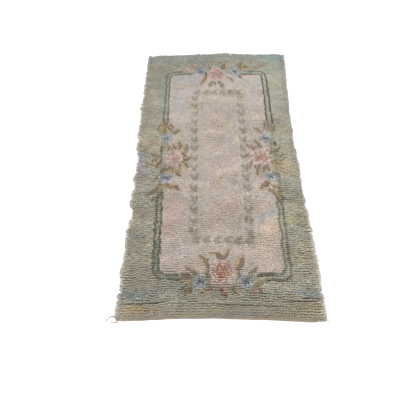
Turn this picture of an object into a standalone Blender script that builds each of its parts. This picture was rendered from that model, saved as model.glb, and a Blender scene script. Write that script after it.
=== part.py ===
"""Long-pile knotted wool rug with a floral design, lying flat on a floor.

Metres, +Z up.  Length runs along Y with the near end at -Y, width along X,
underside on z = 0.  The row spacing, pile height and outline are measured in
rug coordinates; at the end everything moves by one step so that the bounding
box is centred on x = y = 0.
"""
import math

import bpy
import bmesh
from mathutils import Vector

# ------------------------------------------------------------------ sizes ---
HALF_WIDTH = 0.3825         # nominal half width over the pile
HALF_LENGTH = 0.756         # nominal half length over the pile
GROUND_THICK = 0.0026       # woven ground
PILE_TOP = 0.0172           # usual height of the pile surface above the floor
PILE_UNEVEN = 0.0011        # slow rise and fall of the pile surface
EDGE_BLEND = 0.110          # how far the uneven outline reaches into the rug
END_STRIP = 0.0045          # flat-woven strip that shows at the near end
THREAD_GAP = 0.0006         # clear gap between the rug and a loose thread
OBJECT_NAME = "aubusson_rug"

# outline of the two sides: station y, then how far the left and right edges
# stand outside (+) or inside (-) the nominal half width
SIDE_STATIONS = (
    # y,     left,    right
    (-0.756, +0.0055, +0.0080),
    (-0.735, +0.0020, +0.0100),
    (-0.700, +0.0010, +0.0060),
    (-0.672, +0.0055, +0.0105),
    (-0.640, -0.0015, +0.0040),
    (-0.600, -0.0010, +0.0070),
    (-0.575, +0.0060, +0.0100),
    (-0.535, +0.0020, +0.0075),
    (-0.505, +0.0005, +0.0085),
    (-0.475, -0.0065, +0.0050),
    (-0.435, -0.0010, +0.0075),
    (-0.405, +0.0025, +0.0040),
    (-0.375, +0.0040, +0.0040),
    (-0.345, -0.0070, +0.0020),
    (-0.310, -0.0170, +0.0010),
    (-0.280, -0.0140, -0.0015),
    (-0.250, +0.0010, -0.0040),
    (-0.225, -0.0010, -0.0010),
    (-0.200, +0.0030, -0.0035),
    (-0.155, -0.0090, -0.0100),
    (-0.125, -0.0050, -0.0040),
    (-0.100, +0.0015, -0.0060),
    (-0.065, -0.0110, -0.0070),
    (-0.020, -0.0080, -0.0045),
    (+0.020, -0.0115, -0.0130),
    (+0.050, -0.0030, -0.0060),
    (+0.080, +0.0075, -0.0150),
    (+0.125, +0.0005, -0.0160),
    (+0.155, +0.0075, -0.0150),
    (+0.200, +0.0100, -0.0130),
    (+0.245, +0.0025, -0.0135),
    (+0.300, +0.0065, -0.0125),
    (+0.350, +0.0080, -0.0100),
    (+0.420, +0.0030, -0.0080),
    (+0.490, +0.0050, -0.0075),
    (+0.560, +0.0040, -0.0035),
    (+0.640, +0.0040, -0.0010),
    (+0.700, +0.0030, +0.0020),
    (+0.735, +0.0010, +0.0000),
    (+0.756, -0.0050, -0.0080),
)

# outline of the two ends: station x, then how far the near and far edges
# stand outside (+) or inside (-) the nominal half length
END_STATIONS = (
    # x,     near,    far
    (-0.380, -0.0015, -0.0025),
    (-0.360, +0.0010, +0.0000),
    (-0.300, -0.0010, +0.0020),
    (-0.240, -0.0045, +0.0015),
    (-0.180, -0.0080, +0.0030),
    (-0.130, -0.0095, +0.0070),
    (-0.100, -0.0095, +0.0120),
    (-0.060, -0.0100, +0.0065),
    (-0.020, -0.0115, +0.0100),
    (+0.020, -0.0095, +0.0150),
    (+0.050, -0.0085, +0.0190),
    (+0.085, -0.0080, +0.0130),
    (+0.130, -0.0070, +0.0060),
    (+0.200, -0.0055, +0.0015),
    (+0.270, -0.0020, +0.0000),
    (+0.340, +0.0010, +0.0010),
    (+0.380, -0.0020, -0.0040),
)

# rows of pile that lie parted across the rug: the line through the start,
# middle and end points, and how deep the parting is
PARTINGS = (
    # x0,     y0,      xm,     ym,      x1,     y1,      depth
    (-0.372, -0.6910, -0.290, -0.6930, -0.190, -0.6770, 0.0050),
    (-0.075, -0.6900, +0.110, -0.6945, +0.290, -0.7010, 0.0038),
    (+0.240, -0.6790, +0.320, -0.6800, +0.380, -0.6770, 0.0050),
    (-0.340, -0.7420, -0.280, -0.7420, -0.160, -0.7340, 0.0034),
)

# height of the pile surface at a distance in from each edge, as a share of
# the full pile height
SIDE_ROUND = ((0.000, 0.24), (0.005, 0.52), (0.012, 0.76), (0.022, 0.92), (0.040, 1.00))
FAR_ROUND = ((0.000, 0.30), (0.006, 0.62), (0.014, 0.84), (0.026, 0.96), (0.045, 1.00))
NEAR_ROUND = ((0.000, 0.15), (END_STRIP, 0.15), (0.0085, 0.55), (0.016, 0.80), (0.030, 0.95), (0.050, 1.00))

# loose thread ends: radius at the root and tip, the nominal border point the
# thread leaves from, the way it leaves, then steps from its root on the floor
THREADS = (
    # name, root radius, tip radius, border point, way out, steps
    ("corner_thread_a", 0.0023, 0.0012, (-0.3825, -0.7440), (-1.0, 0.0),
     ((-0.0060, +0.0030), (-0.0140, +0.0030), (-0.0215, -0.0020), (-0.0270, -0.0085),
      (-0.0335, -0.0165))),
    ("corner_thread_b", 0.0022, 0.0012, (-0.372, -0.7560), (0.0, -1.0),
     ((-0.0050, -0.0035), (-0.0120, -0.0045), (-0.0190, -0.0035), (-0.0235, +0.0015))),
    ("corner_thread_c", 0.0015, 0.0008, (+0.3825, -0.7510), (1.0, 0.0),
     ((+0.0050, -0.0020), (+0.0110, -0.0065))),
)

# linear colours of the materials
COLOUR_RUG = (0.42, 0.37, 0.31, 1.0)
COLOUR_THREAD = (0.52, 0.48, 0.38, 1.0)


# ---------------------------------------------------------------- helpers ---
def clear_scene():
    for obj in list(bpy.data.objects):
        bpy.data.objects.remove(obj, do_unlink=True)
    for coll in list(bpy.data.collections):
        bpy.data.collections.remove(coll)
    for store in (bpy.data.meshes, bpy.data.curves, bpy.data.materials):
        for item in list(store):
            store.remove(item)


def material(name, colour, roughness):
    mat = bpy.data.materials.new(name)
    mat.use_nodes = True
    shader = mat.node_tree.nodes["Principled BSDF"]
    shader.inputs["Base Color"].default_value = colour
    shader.inputs["Roughness"].default_value = roughness
    return mat


def smooth(t):
    t = min(1.0, max(0.0, t))
    return t * t * (3.0 - 2.0 * t)


def station(table, where, column):
    """Value of one column of a station table at a place, eased between rows."""
    if where <= table[0][0]:
        return table[0][column]
    for low, high in zip(table, table[1:]):
        if where <= high[0]:
            t = smooth((where - low[0]) / (high[0] - low[0]))
            return low[column] + t * (high[column] - low[column])
    return table[-1][column]


def linear(table, where):
    if where <= table[0][0]:
        return table[0][1]
    for low, high in zip(table, table[1:]):
        if where <= high[0]:
            return low[1] + (where - low[0]) / (high[0] - low[0]) * (high[1] - low[1])
    return table[-1][1]


def spread(low, high, step):
    count = max(1, round((high - low) / step))
    return [low + (high - low) * i / count for i in range(count + 1)]


def edge_steps(profile):
    return [row[0] for row in profile]


# ------------------------------------------------------------------- rug ---
def grid_lines():
    """Grid lines in nominal coordinates: close together along the edges."""
    side = edge_steps(SIDE_ROUND)
    xs = [-HALF_WIDTH + d for d in side]
    xs += spread(xs[-1], -xs[-1], 0.050)[1:-1]
    xs += [HALF_WIDTH - d for d in reversed(side)]
    near = [-HALF_LENGTH + d for d in edge_steps(NEAR_ROUND)]
    far = [HALF_LENGTH - d for d in reversed(edge_steps(FAR_ROUND))]
    parted = spread(near[-1], -0.664, 0.0055)[1:]
    plain = spread(parted[-1], far[0], 0.0165)[1:-1]
    return xs, near + parted + plain + far


def outline_shift(x, y):
    """Move a nominal grid point so that the grid's border is the outline."""
    left = smooth((-HALF_WIDTH + EDGE_BLEND - x) / EDGE_BLEND)
    right = smooth((x - HALF_WIDTH + EDGE_BLEND) / EDGE_BLEND)
    near = smooth((-HALF_LENGTH + EDGE_BLEND - y) / EDGE_BLEND)
    far = smooth((y - HALF_LENGTH + EDGE_BLEND) / EDGE_BLEND)
    dx = right * station(SIDE_STATIONS, y, 2) - left * station(SIDE_STATIONS, y, 1)
    dy = far * station(END_STATIONS, x, 2) - near * station(END_STATIONS, x, 1)
    return x + dx, y + dy


def parting_depth(x, y):
    deepest = 0.0
    for x0, y0, xm, ym, x1, y1, depth in PARTINGS:
        if not x0 < x < x1:
            continue
        t = (x - x0) / (x1 - x0)
        tm = (xm - x0) / (x1 - x0)
        # the line is the quadratic through the three points
        line = (y0 * (t - tm) * (t - 1.0) / tm
                + ym * t * (1.0 - t) / (tm * (1.0 - tm))
                + y1 * t * (t - tm) / (1.0 - tm))
        reach = math.exp(-((y - line) / 0.0045) ** 2)
        ends = smooth(5.0 * min(t + 0.1, 1.1 - t))
        deepest = max(deepest, depth * reach * ends)
    return deepest


def pile_height(x, y):
    rise = (math.sin(7.1 * x + 2.3 * y + 0.4) + math.sin(3.7 * x - 5.9 * y + 1.9)
            + 0.7 * math.sin(17.0 * x + 4.1 * y) * math.sin(11.0 * y + 0.6)) / 2.7
    share = min(linear(SIDE_ROUND, HALF_WIDTH - abs(x)),
                linear(NEAR_ROUND, y + HALF_LENGTH),
                linear(FAR_ROUND, HALF_LENGTH - y))
    top = PILE_TOP + PILE_UNEVEN * rise
    return max(GROUND_THICK, share * top - parting_depth(x, y))


def build_rug(coll, mat):
    xs, ys = grid_lines()
    mesh = bpy.data.meshes.new("rug")
    bm = bmesh.new()
    bmesh.ops.create_grid(bm, x_segments=len(xs) - 1, y_segments=len(ys) - 1, size=1.0)
    # each grid vertex goes to its line, then to the outline and the pile height
    for vert in bm.verts:
        col = round((vert.co.x + 1.0) / 2.0 * (len(xs) - 1))
        row = round((vert.co.y + 1.0) / 2.0 * (len(ys) - 1))
        x, y = xs[col], ys[row]
        px, py = outline_shift(x, y)
        vert.co = Vector((px, py, pile_height(x, y)))
    # pull the whole surface down to the floor for the underside and the sides
    made = bmesh.ops.extrude_face_region(bm, geom=bm.faces[:])
    low = [g for g in made["geom"] if isinstance(g, bmesh.types.BMVert)]
    for vert in low:
        vert.co.z = 0.0
    bmesh.ops.dissolve_limit(bm, angle_limit=math.radians(0.01),
                             verts=low, edges=[e for e in bm.edges
                                               if e.verts[0].co.z == 0.0 and e.verts[1].co.z == 0.0],
                             use_dissolve_boundaries=False)
    bmesh.ops.triangulate(bm, faces=bm.faces[:])
    bmesh.ops.recalc_face_normals(bm, faces=bm.faces[:])
    bm.to_mesh(mesh)
    bm.free()
    obj = bpy.data.objects.new("rug", mesh)
    obj.data.materials.append(mat)
    coll.objects.link(obj)
    return obj


# --------------------------------------------------------------- threads ---
def build_thread(coll, mat, name, root_radius, tip_radius, border, way, steps):
    edge_x, edge_y = outline_shift(*border)
    clear = root_radius + THREAD_GAP
    root = (edge_x + way[0] * clear, edge_y + way[1] * clear)
    points = [root] + [(root[0] + dx, root[1] + dy) for dx, dy in steps]
    curve = bpy.data.curves.new(name, "CURVE")
    curve.dimensions = "3D"
    curve.bevel_depth = root_radius
    curve.bevel_resolution = 2
    curve.use_fill_caps = True
    spline = curve.splines.new("POLY")
    spline.points.add(len(points) - 1)
    for index, (x, y) in enumerate(points):
        share = index / (len(points) - 1)
        radius = root_radius + share * (tip_radius - root_radius)
        spline.points[index].co = (x, y, root_radius + 0.0001, 1.0)
        spline.points[index].radius = radius / root_radius
    obj = bpy.data.objects.new(name, curve)
    obj.data.materials.append(mat)
    coll.objects.link(obj)
    return obj


def centre(objects):
    """Move everything by one step so the bounding box is centred in x and y."""
    bpy.context.view_layer.update()
    graph = bpy.context.evaluated_depsgraph_get()
    corners = []
    for obj in objects:
        seen = obj.evaluated_get(graph)
        mesh = seen.to_mesh()
        corners += [obj.matrix_world @ v.co for v in mesh.vertices]
        seen.to_mesh_clear()
    step = [-(min(c[i] for c in corners) + max(c[i] for c in corners)) / 2.0 for i in (0, 1)]
    for obj in objects:
        if obj.type == "MESH":
            for vert in obj.data.vertices:
                vert.co.x += step[0]
                vert.co.y += step[1]
        else:
            for point in obj.data.splines[0].points:
                point.co.x += step[0]
                point.co.y += step[1]
    print("moved by", [round(s, 6) for s in step])


def main():
    clear_scene()
    coll = bpy.data.collections.new(OBJECT_NAME)
    bpy.context.scene.collection.children.link(coll)
    wool = material("knotted_wool", COLOUR_RUG, 0.9)
    thread = material("loose_thread", COLOUR_THREAD, 0.9)
    objects = [build_rug(coll, wool)]
    for row in THREADS:
        objects.append(build_thread(coll, thread, *row))
    centre(objects)


main()
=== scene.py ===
"""Long-pile knotted wool rug with a floral design: pile, ground weave, loose threads.

Places are in metres.  "Rug coordinates" are measured from the middle of the rug;
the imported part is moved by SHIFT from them.
"""
import math

import bpy
import numpy as np
from mathutils import Matrix, Vector


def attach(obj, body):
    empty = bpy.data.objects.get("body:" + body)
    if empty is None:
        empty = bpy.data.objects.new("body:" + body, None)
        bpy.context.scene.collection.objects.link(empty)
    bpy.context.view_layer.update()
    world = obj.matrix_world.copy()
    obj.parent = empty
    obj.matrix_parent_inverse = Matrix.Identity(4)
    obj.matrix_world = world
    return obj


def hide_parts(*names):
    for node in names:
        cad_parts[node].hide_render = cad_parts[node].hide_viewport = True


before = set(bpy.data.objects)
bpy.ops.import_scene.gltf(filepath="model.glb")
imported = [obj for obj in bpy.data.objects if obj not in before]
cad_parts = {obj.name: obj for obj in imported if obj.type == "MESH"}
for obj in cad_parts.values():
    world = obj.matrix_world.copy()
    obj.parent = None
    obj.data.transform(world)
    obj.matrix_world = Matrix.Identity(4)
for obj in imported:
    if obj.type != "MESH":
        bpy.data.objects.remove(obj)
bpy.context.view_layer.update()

# ------------------------------------------------------------------ sizes ---
SHIFT = np.array([0.009421, -0.005303])   # rug coordinates to the part's own
HALF_WIDTH = 0.3825
HALF_LENGTH = 0.756
GROUND_LOW, GROUND_HIGH = 0.0002, 0.0026
PILE_TOP = 0.0174
SIDE_INSET = 0.0125        # ground edge inside the pile's outline, at the sides
FAR_INSET = 0.0140         # the same at the far end
END_STRIP = 0.0045         # flat-woven strip that shows at the near end
ROW_STEP = 0.0090          # from knot row to knot row
ROW_PAIR = 0.0022          # between a row's front and back line of yarn ends
KNOT_STEP = 0.0042         # from knot to knot along a row
LEAN = 0.0062              # how far the pile's tips lie towards the far end
YARN_RADIUS = 0.00128
TOOTH_LEFT, TOOTH_RIGHT = 0.0056, 0.0040   # how unevenly the rows' ends stand out

# the two sides: station y, then how far the left and right edges stand
# outside (+) or inside (-) the half width
SIDE_STATIONS = np.array((
    (-0.756, +0.0055, +0.0080), (-0.735, +0.0020, +0.0100), (-0.700, +0.0010, +0.0060),
    (-0.672, +0.0055, +0.0105), (-0.640, -0.0015, +0.0040), (-0.600, -0.0010, +0.0070),
    (-0.575, +0.0060, +0.0100), (-0.535, +0.0020, +0.0075), (-0.505, +0.0005, +0.0085),
    (-0.475, -0.0065, +0.0050), (-0.435, -0.0010, +0.0075), (-0.405, +0.0025, +0.0040),
    (-0.375, +0.0040, +0.0040), (-0.345, -0.0070, +0.0020), (-0.310, -0.0170, +0.0010),
    (-0.280, -0.0140, -0.0015), (-0.250, +0.0010, -0.0040), (-0.225, -0.0010, -0.0010),
    (-0.200, +0.0030, -0.0035), (-0.155, -0.0090, -0.0100), (-0.125, -0.0050, -0.0040),
    (-0.100, +0.0015, -0.0060), (-0.065, -0.0110, -0.0070), (-0.020, -0.0080, -0.0045),
    (+0.020, -0.0115, -0.0130), (+0.050, -0.0030, -0.0060), (+0.080, +0.0075, -0.0150),
    (+0.125, +0.0005, -0.0160), (+0.155, +0.0075, -0.0150), (+0.200, +0.0100, -0.0130),
    (+0.245, +0.0025, -0.0135), (+0.300, +0.0065, -0.0125), (+0.350, +0.0080, -0.0100),
    (+0.420, +0.0030, -0.0080), (+0.490, +0.0050, -0.0075), (+0.560, +0.0040, -0.0035),
    (+0.640, +0.0040, -0.0010), (+0.700, +0.0030, +0.0020), (+0.735, +0.0010, +0.0000),
    (+0.756, -0.0050, -0.0080),
))
# the two ends: station x, then the near and far edges against the half length
END_STATIONS = np.array((
    (-0.380, -0.0015, -0.0025), (-0.360, +0.0010, +0.0000), (-0.300, -0.0010, +0.0020),
    (-0.240, -0.0045, +0.0015), (-0.180, -0.0080, +0.0030), (-0.130, -0.0095, +0.0070),
    (-0.100, -0.0095, +0.0120), (-0.060, -0.0100, +0.0065), (-0.020, -0.0115, +0.0100),
    (+0.020, -0.0095, +0.0150), (+0.050, -0.0085, +0.0190), (+0.085, -0.0080, +0.0130),
    (+0.130, -0.0070, +0.0060), (+0.200, -0.0055, +0.0015), (+0.270, -0.0020, +0.0000),
    (+0.340, +0.0010, +0.0010), (+0.380, -0.0020, -0.0040),
))
# lines along which the pile lies parted: start, middle, end, how far it opens
PARTINGS = (
    # x0,     y0,      xm,     ym,      x1,     y1,      opening
    (-0.372, -0.6910, -0.290, -0.6930, -0.190, -0.6770, 0.0050),
    (-0.345, -0.6800, -0.300, -0.6815, -0.245, -0.6810, 0.0035),
    (-0.075, -0.6900, +0.110, -0.6945, +0.290, -0.7010, 0.0036),
    (+0.240, -0.6790, +0.320, -0.6800, +0.380, -0.6770, 0.0045),
    (+0.300, -0.6700, +0.345, -0.6690, +0.382, -0.6670, 0.0040),
    (-0.340, -0.7420, -0.280, -0.7420, -0.160, -0.7340, 0.0036),
    (+0.100, -0.7310, +0.150, -0.7330, +0.210, -0.7310, 0.0024),
)


# ------------------------------------------------------------------ noise ---
def value_noise(x, y, seed):
    """Smooth noise from -1 to 1, one cell a unit, for arrays x and y."""
    size = 256
    lattice = np.random.default_rng(seed).uniform(-1.0, 1.0, (size, size))
    x = np.asarray(x, float) + 1000.0
    y = np.asarray(y, float) + 1000.0
    xi, yi = np.floor(x).astype(int), np.floor(y).astype(int)
    fx, fy = x - xi, y - yi
    fx, fy = fx * fx * (3 - 2 * fx), fy * fy * (3 - 2 * fy)
    a = lattice[xi % size, yi % size]
    b = lattice[(xi + 1) % size, yi % size]
    c = lattice[xi % size, (yi + 1) % size]
    d = lattice[(xi + 1) % size, (yi + 1) % size]
    return (a * (1 - fx) + b * fx) * (1 - fy) + (c * (1 - fx) + d * fx) * fy


def ease(t):
    t = np.clip(t, 0.0, 1.0)
    return t * t * (3.0 - 2.0 * t)


def station(table, where, column):
    where = np.asarray(where, float)
    i = np.clip(np.searchsorted(table[:, 0], where) - 1, 0, len(table) - 2)
    t = ease((where - table[i, 0]) / (table[i + 1, 0] - table[i, 0]))
    return table[i, column] + t * (table[i + 1, column] - table[i, column])


def left_edge(y):
    return -HALF_WIDTH - station(SIDE_STATIONS, y, 1)


def right_edge(y):
    return HALF_WIDTH + station(SIDE_STATIONS, y, 2)


def near_edge(x):
    return -HALF_LENGTH - station(END_STATIONS, x, 1)


def far_edge(x):
    return HALF_LENGTH + station(END_STATIONS, x, 2)


# ---------------------------------------------------------------- colours ---
def linear(r, g, b):
    """A colour given as 0 to 255 values of the screen, as linear light."""
    out = []
    for c in (r, g, b):
        c = c / 255.0
        out.append(c / 12.92 if c <= 0.04045 else ((c + 0.055) / 1.055) ** 2.4)
    return np.array(out)


SAGE = linear(190, 186, 166)
SAGE_BAND = linear(178, 178, 160)
CREAM = linear(204, 192, 182)
LINE_GREEN = linear(113, 114, 97)
GARLAND = linear(173, 166, 141)
GARLAND_DARK = linear(148, 143, 120)
ROSE_DEEP = linear(166, 107, 84)
ROSE_MID = linear(198, 153, 131)
ROSE_PALE = linear(216, 188, 174)
ROSE_LILAC = linear(210, 188, 184)
ROSE_LIGHT = linear(220, 204, 194)
BLUE_PALE = linear(186, 191, 191)
BLUE_MID = linear(144, 150, 156)
BLUE_DARK = linear(84, 88, 94)
LEAF_TAN = linear(200, 178, 144)
LEAF_GOLD = linear(198, 176, 130)
LEAF_OLIVE = linear(144, 131, 97)
LEAF_BROWN = linear(154, 126, 97)
LEAF_GREY = linear(160, 150, 134)
LEAF_PINK = linear(190, 154, 132)
WEB_TAN = linear(166, 150, 131)

# soft patches where the dye lots and wear differ
PATCHES = (
    # x,      y,      half x, half y, tilt, colour,                strength
    (+0.165, +0.470, 0.055, 0.080, 0.0, linear(208, 201, 189), 0.55),
    (+0.214, +0.520, 0.038, 0.080, 0.0, linear(204, 200, 192), 0.60),
    (+0.190, +0.235, 0.045, 0.050, 0.0, linear(216, 207, 197), 0.42),
    (+0.300, +0.735, 0.080, 0.030, 0.0, linear(160, 184, 182), 0.80),
    (-0.230, +0.715, 0.110, 0.030, 0.0, linear(160, 168, 163), 0.55),
    (-0.345, +0.660, 0.024, 0.035, 0.0, linear(182, 162, 126), 0.45),
    (-0.225, +0.665, 0.018, 0.022, 0.0, linear(186, 164, 136), 0.40),
    (+0.230, +0.655, 0.050, 0.014, 0.5, linear(184, 144, 116), 0.62),
    (+0.120, +0.700, 0.060, 0.030, 0.0, linear(176, 160, 142), 0.45),
    (+0.330, +0.580, 0.050, 0.100, 0.0, linear(182, 180, 160), 0.40),
    (-0.335, +0.455, 0.045, 0.060, 0.0, linear(190, 170, 150), 0.55),
    (-0.340, +0.220, 0.045, 0.050, 0.0, linear(182, 168, 148), 0.55),
    (-0.335, +0.350, 0.045, 0.060, 0.0, linear(184, 168, 148), 0.60),
    (-0.322, +0.112, 0.062, 0.026, 0.0, linear(190, 166, 136), 0.60),
    (-0.355, +0.020, 0.024, 0.040, 0.0, linear(168, 176, 196), 0.70),
    (-0.350, -0.060, 0.030, 0.050, 0.0, linear(178, 172, 184), 0.60),
    (-0.330, -0.160, 0.040, 0.050, 0.0, linear(180, 180, 184), 0.52),
    (-0.340, -0.405, 0.040, 0.008, 0.0, linear(148, 164, 178), 0.65),
    (-0.330, -0.450, 0.050, 0.030, 0.0, linear(176, 162, 140), 0.40),
    (-0.315, -0.560, 0.050, 0.050, 0.0, linear(172, 164, 148), 0.45),
    (-0.330, -0.661, 0.056, 0.017, 0.0, linear(142, 150, 158), 0.75),
    (-0.240, -0.648, 0.056, 0.014, 0.0, linear(166, 174, 176), 0.38),
    (-0.318, -0.716, 0.071, 0.018, 0.0, linear(197, 173, 128), 0.82),
    (-0.236, -0.712, 0.040, 0.012, 0.0, linear(188, 160, 128), 0.42),
    (-0.230, -0.730, 0.060, 0.006, 0.0, linear(186, 168, 182), 0.60),
    (+0.000, -0.710, 0.035, 0.010, 0.0, linear(186, 188, 138), 0.70),
    (+0.010, -0.728, 0.070, 0.007, 0.0, linear(150, 156, 170), 0.62),
    (+0.130, -0.726, 0.090, 0.011, 0.0, linear(146, 162, 170), 0.62),
    (+0.305, +0.242, 0.040, 0.018, 0.0, linear(172, 170, 178), 0.42),
    (+0.320, +0.185, 0.045, 0.040, 0.0, linear(192, 184, 150), 0.55),
    (+0.335, +0.330, 0.036, 0.024, 0.0, linear(170, 178, 172), 0.50),
    (+0.345, +0.030, 0.030, 0.050, 0.0, linear(180, 172, 160), 0.40),
    (+0.325, -0.050, 0.040, 0.035, 0.0, linear(194, 184, 142), 0.60),
    (+0.330, -0.200, 0.040, 0.050, 0.0, linear(176, 178, 164), 0.45),
    (+0.310, -0.330, 0.060, 0.025, 0.2, linear(184, 184, 142), 0.55),
    (+0.335, -0.500, 0.050, 0.075, 0.0, linear(204, 190, 158), 0.55),
    (+0.290, -0.600, 0.090, 0.014, 0.0, linear(170, 168, 156), 0.25),
    (+0.060, -0.690, 0.080, 0.035, 0.0, linear(150, 150, 138), 0.30),
    (+0.250, -0.705, 0.150, 0.040, 0.0, linear(164, 152, 126), 0.50),
    (+0.335, -0.650, 0.060, 0.014, 0.0, linear(150, 163, 168), 0.66),
    (+0.330, -0.710, 0.060, 0.018, 0.0, linear(184, 174, 130), 0.62),
    (+0.240, -0.735, 0.120, 0.014, 0.0, linear(190, 174, 152), 0.50),
    (-0.150, +0.555, 0.075, 0.030, 0.0, linear(184, 190, 194), 0.72),
    (-0.180, +0.505, 0.055, 0.024, 0.0, linear(196, 182, 162), 0.55),
    (-0.135, +0.465, 0.035, 0.025, 0.0, linear(190, 182, 194), 0.52),
    (-0.180, +0.420, 0.055, 0.040, 0.0, linear(196, 186, 176), 0.45),
    (-0.200, +0.368, 0.032, 0.060, 0.0, linear(192, 193, 200), 0.52),
    (-0.180, +0.285, 0.050, 0.040, 0.0, linear(200, 188, 188), 0.45),
    (-0.060, +0.540, 0.060, 0.030, 0.0, linear(196, 190, 184), 0.45),
    (+0.000, +0.240, 0.080, 0.060, 0.0, linear(216, 196, 172), 0.40),
    (-0.050, +0.120, 0.070, 0.060, 0.0, linear(216, 198, 178), 0.35),
    (+0.060, +0.020, 0.080, 0.060, 0.0, linear(210, 194, 192), 0.45),
    (-0.200, -0.330, 0.060, 0.080, 0.0, linear(218, 192, 178), 0.45),
    (+0.040, -0.260, 0.080, 0.060, 0.0, linear(214, 192, 178), 0.45),
    (-0.150, -0.470, 0.070, 0.040, 0.0, linear(208, 194, 198), 0.45),
    (+0.208, -0.300, 0.014, 0.070, -1.05, linear(176, 186, 198), 0.80),
    (+0.165, -0.338, 0.012, 0.040, -1.05, linear(186, 190, 196), 0.70),
    (+0.215, -0.385, 0.040, 0.028, 0.4, linear(222, 190, 158), 0.55),
    (+0.225, -0.330, 0.030, 0.016, 0.4, linear(220, 192, 162), 0.40),
    (+0.150, -0.440, 0.060, 0.040, 0.0, linear(218, 194, 170), 0.40),
    (+0.122, -0.320, 0.010, 0.014, 0.0, linear(160, 118, 88), 0.75),
    (+0.012, -0.106, 0.005, 0.007, 0.0, linear(120, 108, 100), 0.80),
    (+0.340, +0.285, 0.036, 0.016, 0.0, linear(196, 174, 146), 0.45),
    (+0.190, -0.190, 0.060, 0.130, 0.0, linear(216, 200, 186), 0.36),
    (+0.195, -0.440, 0.060, 0.150, 0.0, linear(230, 214, 197), 0.45),
    (+0.040, -0.420, 0.080, 0.080, 0.0, linear(218, 204, 192), 0.40),
    (-0.106, -0.372, 0.010, 0.013, 0.0, linear(150, 124, 96), 0.50),
    (+0.134, -0.385, 0.010, 0.016, 0.0, linear(156, 140, 110), 0.45),
    (+0.060, -0.748, 0.360, 0.008, 0.0, linear(182, 160, 140), 0.60),
    (-0.340, +0.565, 0.040, 0.060, 0.0, linear(178, 168, 150), 0.45),
    (-0.287, +0.420, 0.012, 0.150, 0.0, linear(160, 169, 150), 0.40),
    (+0.185, +0.500, 0.050, 0.060, 0.0, linear(204, 197, 190), 0.40),
    (+0.110, +0.545, 0.070, 0.028, 0.0, linear(198, 199, 199), 0.45),
    (+0.180, +0.420, 0.034, 0.034, 0.0, linear(204, 194, 202), 0.50),
)

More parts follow.
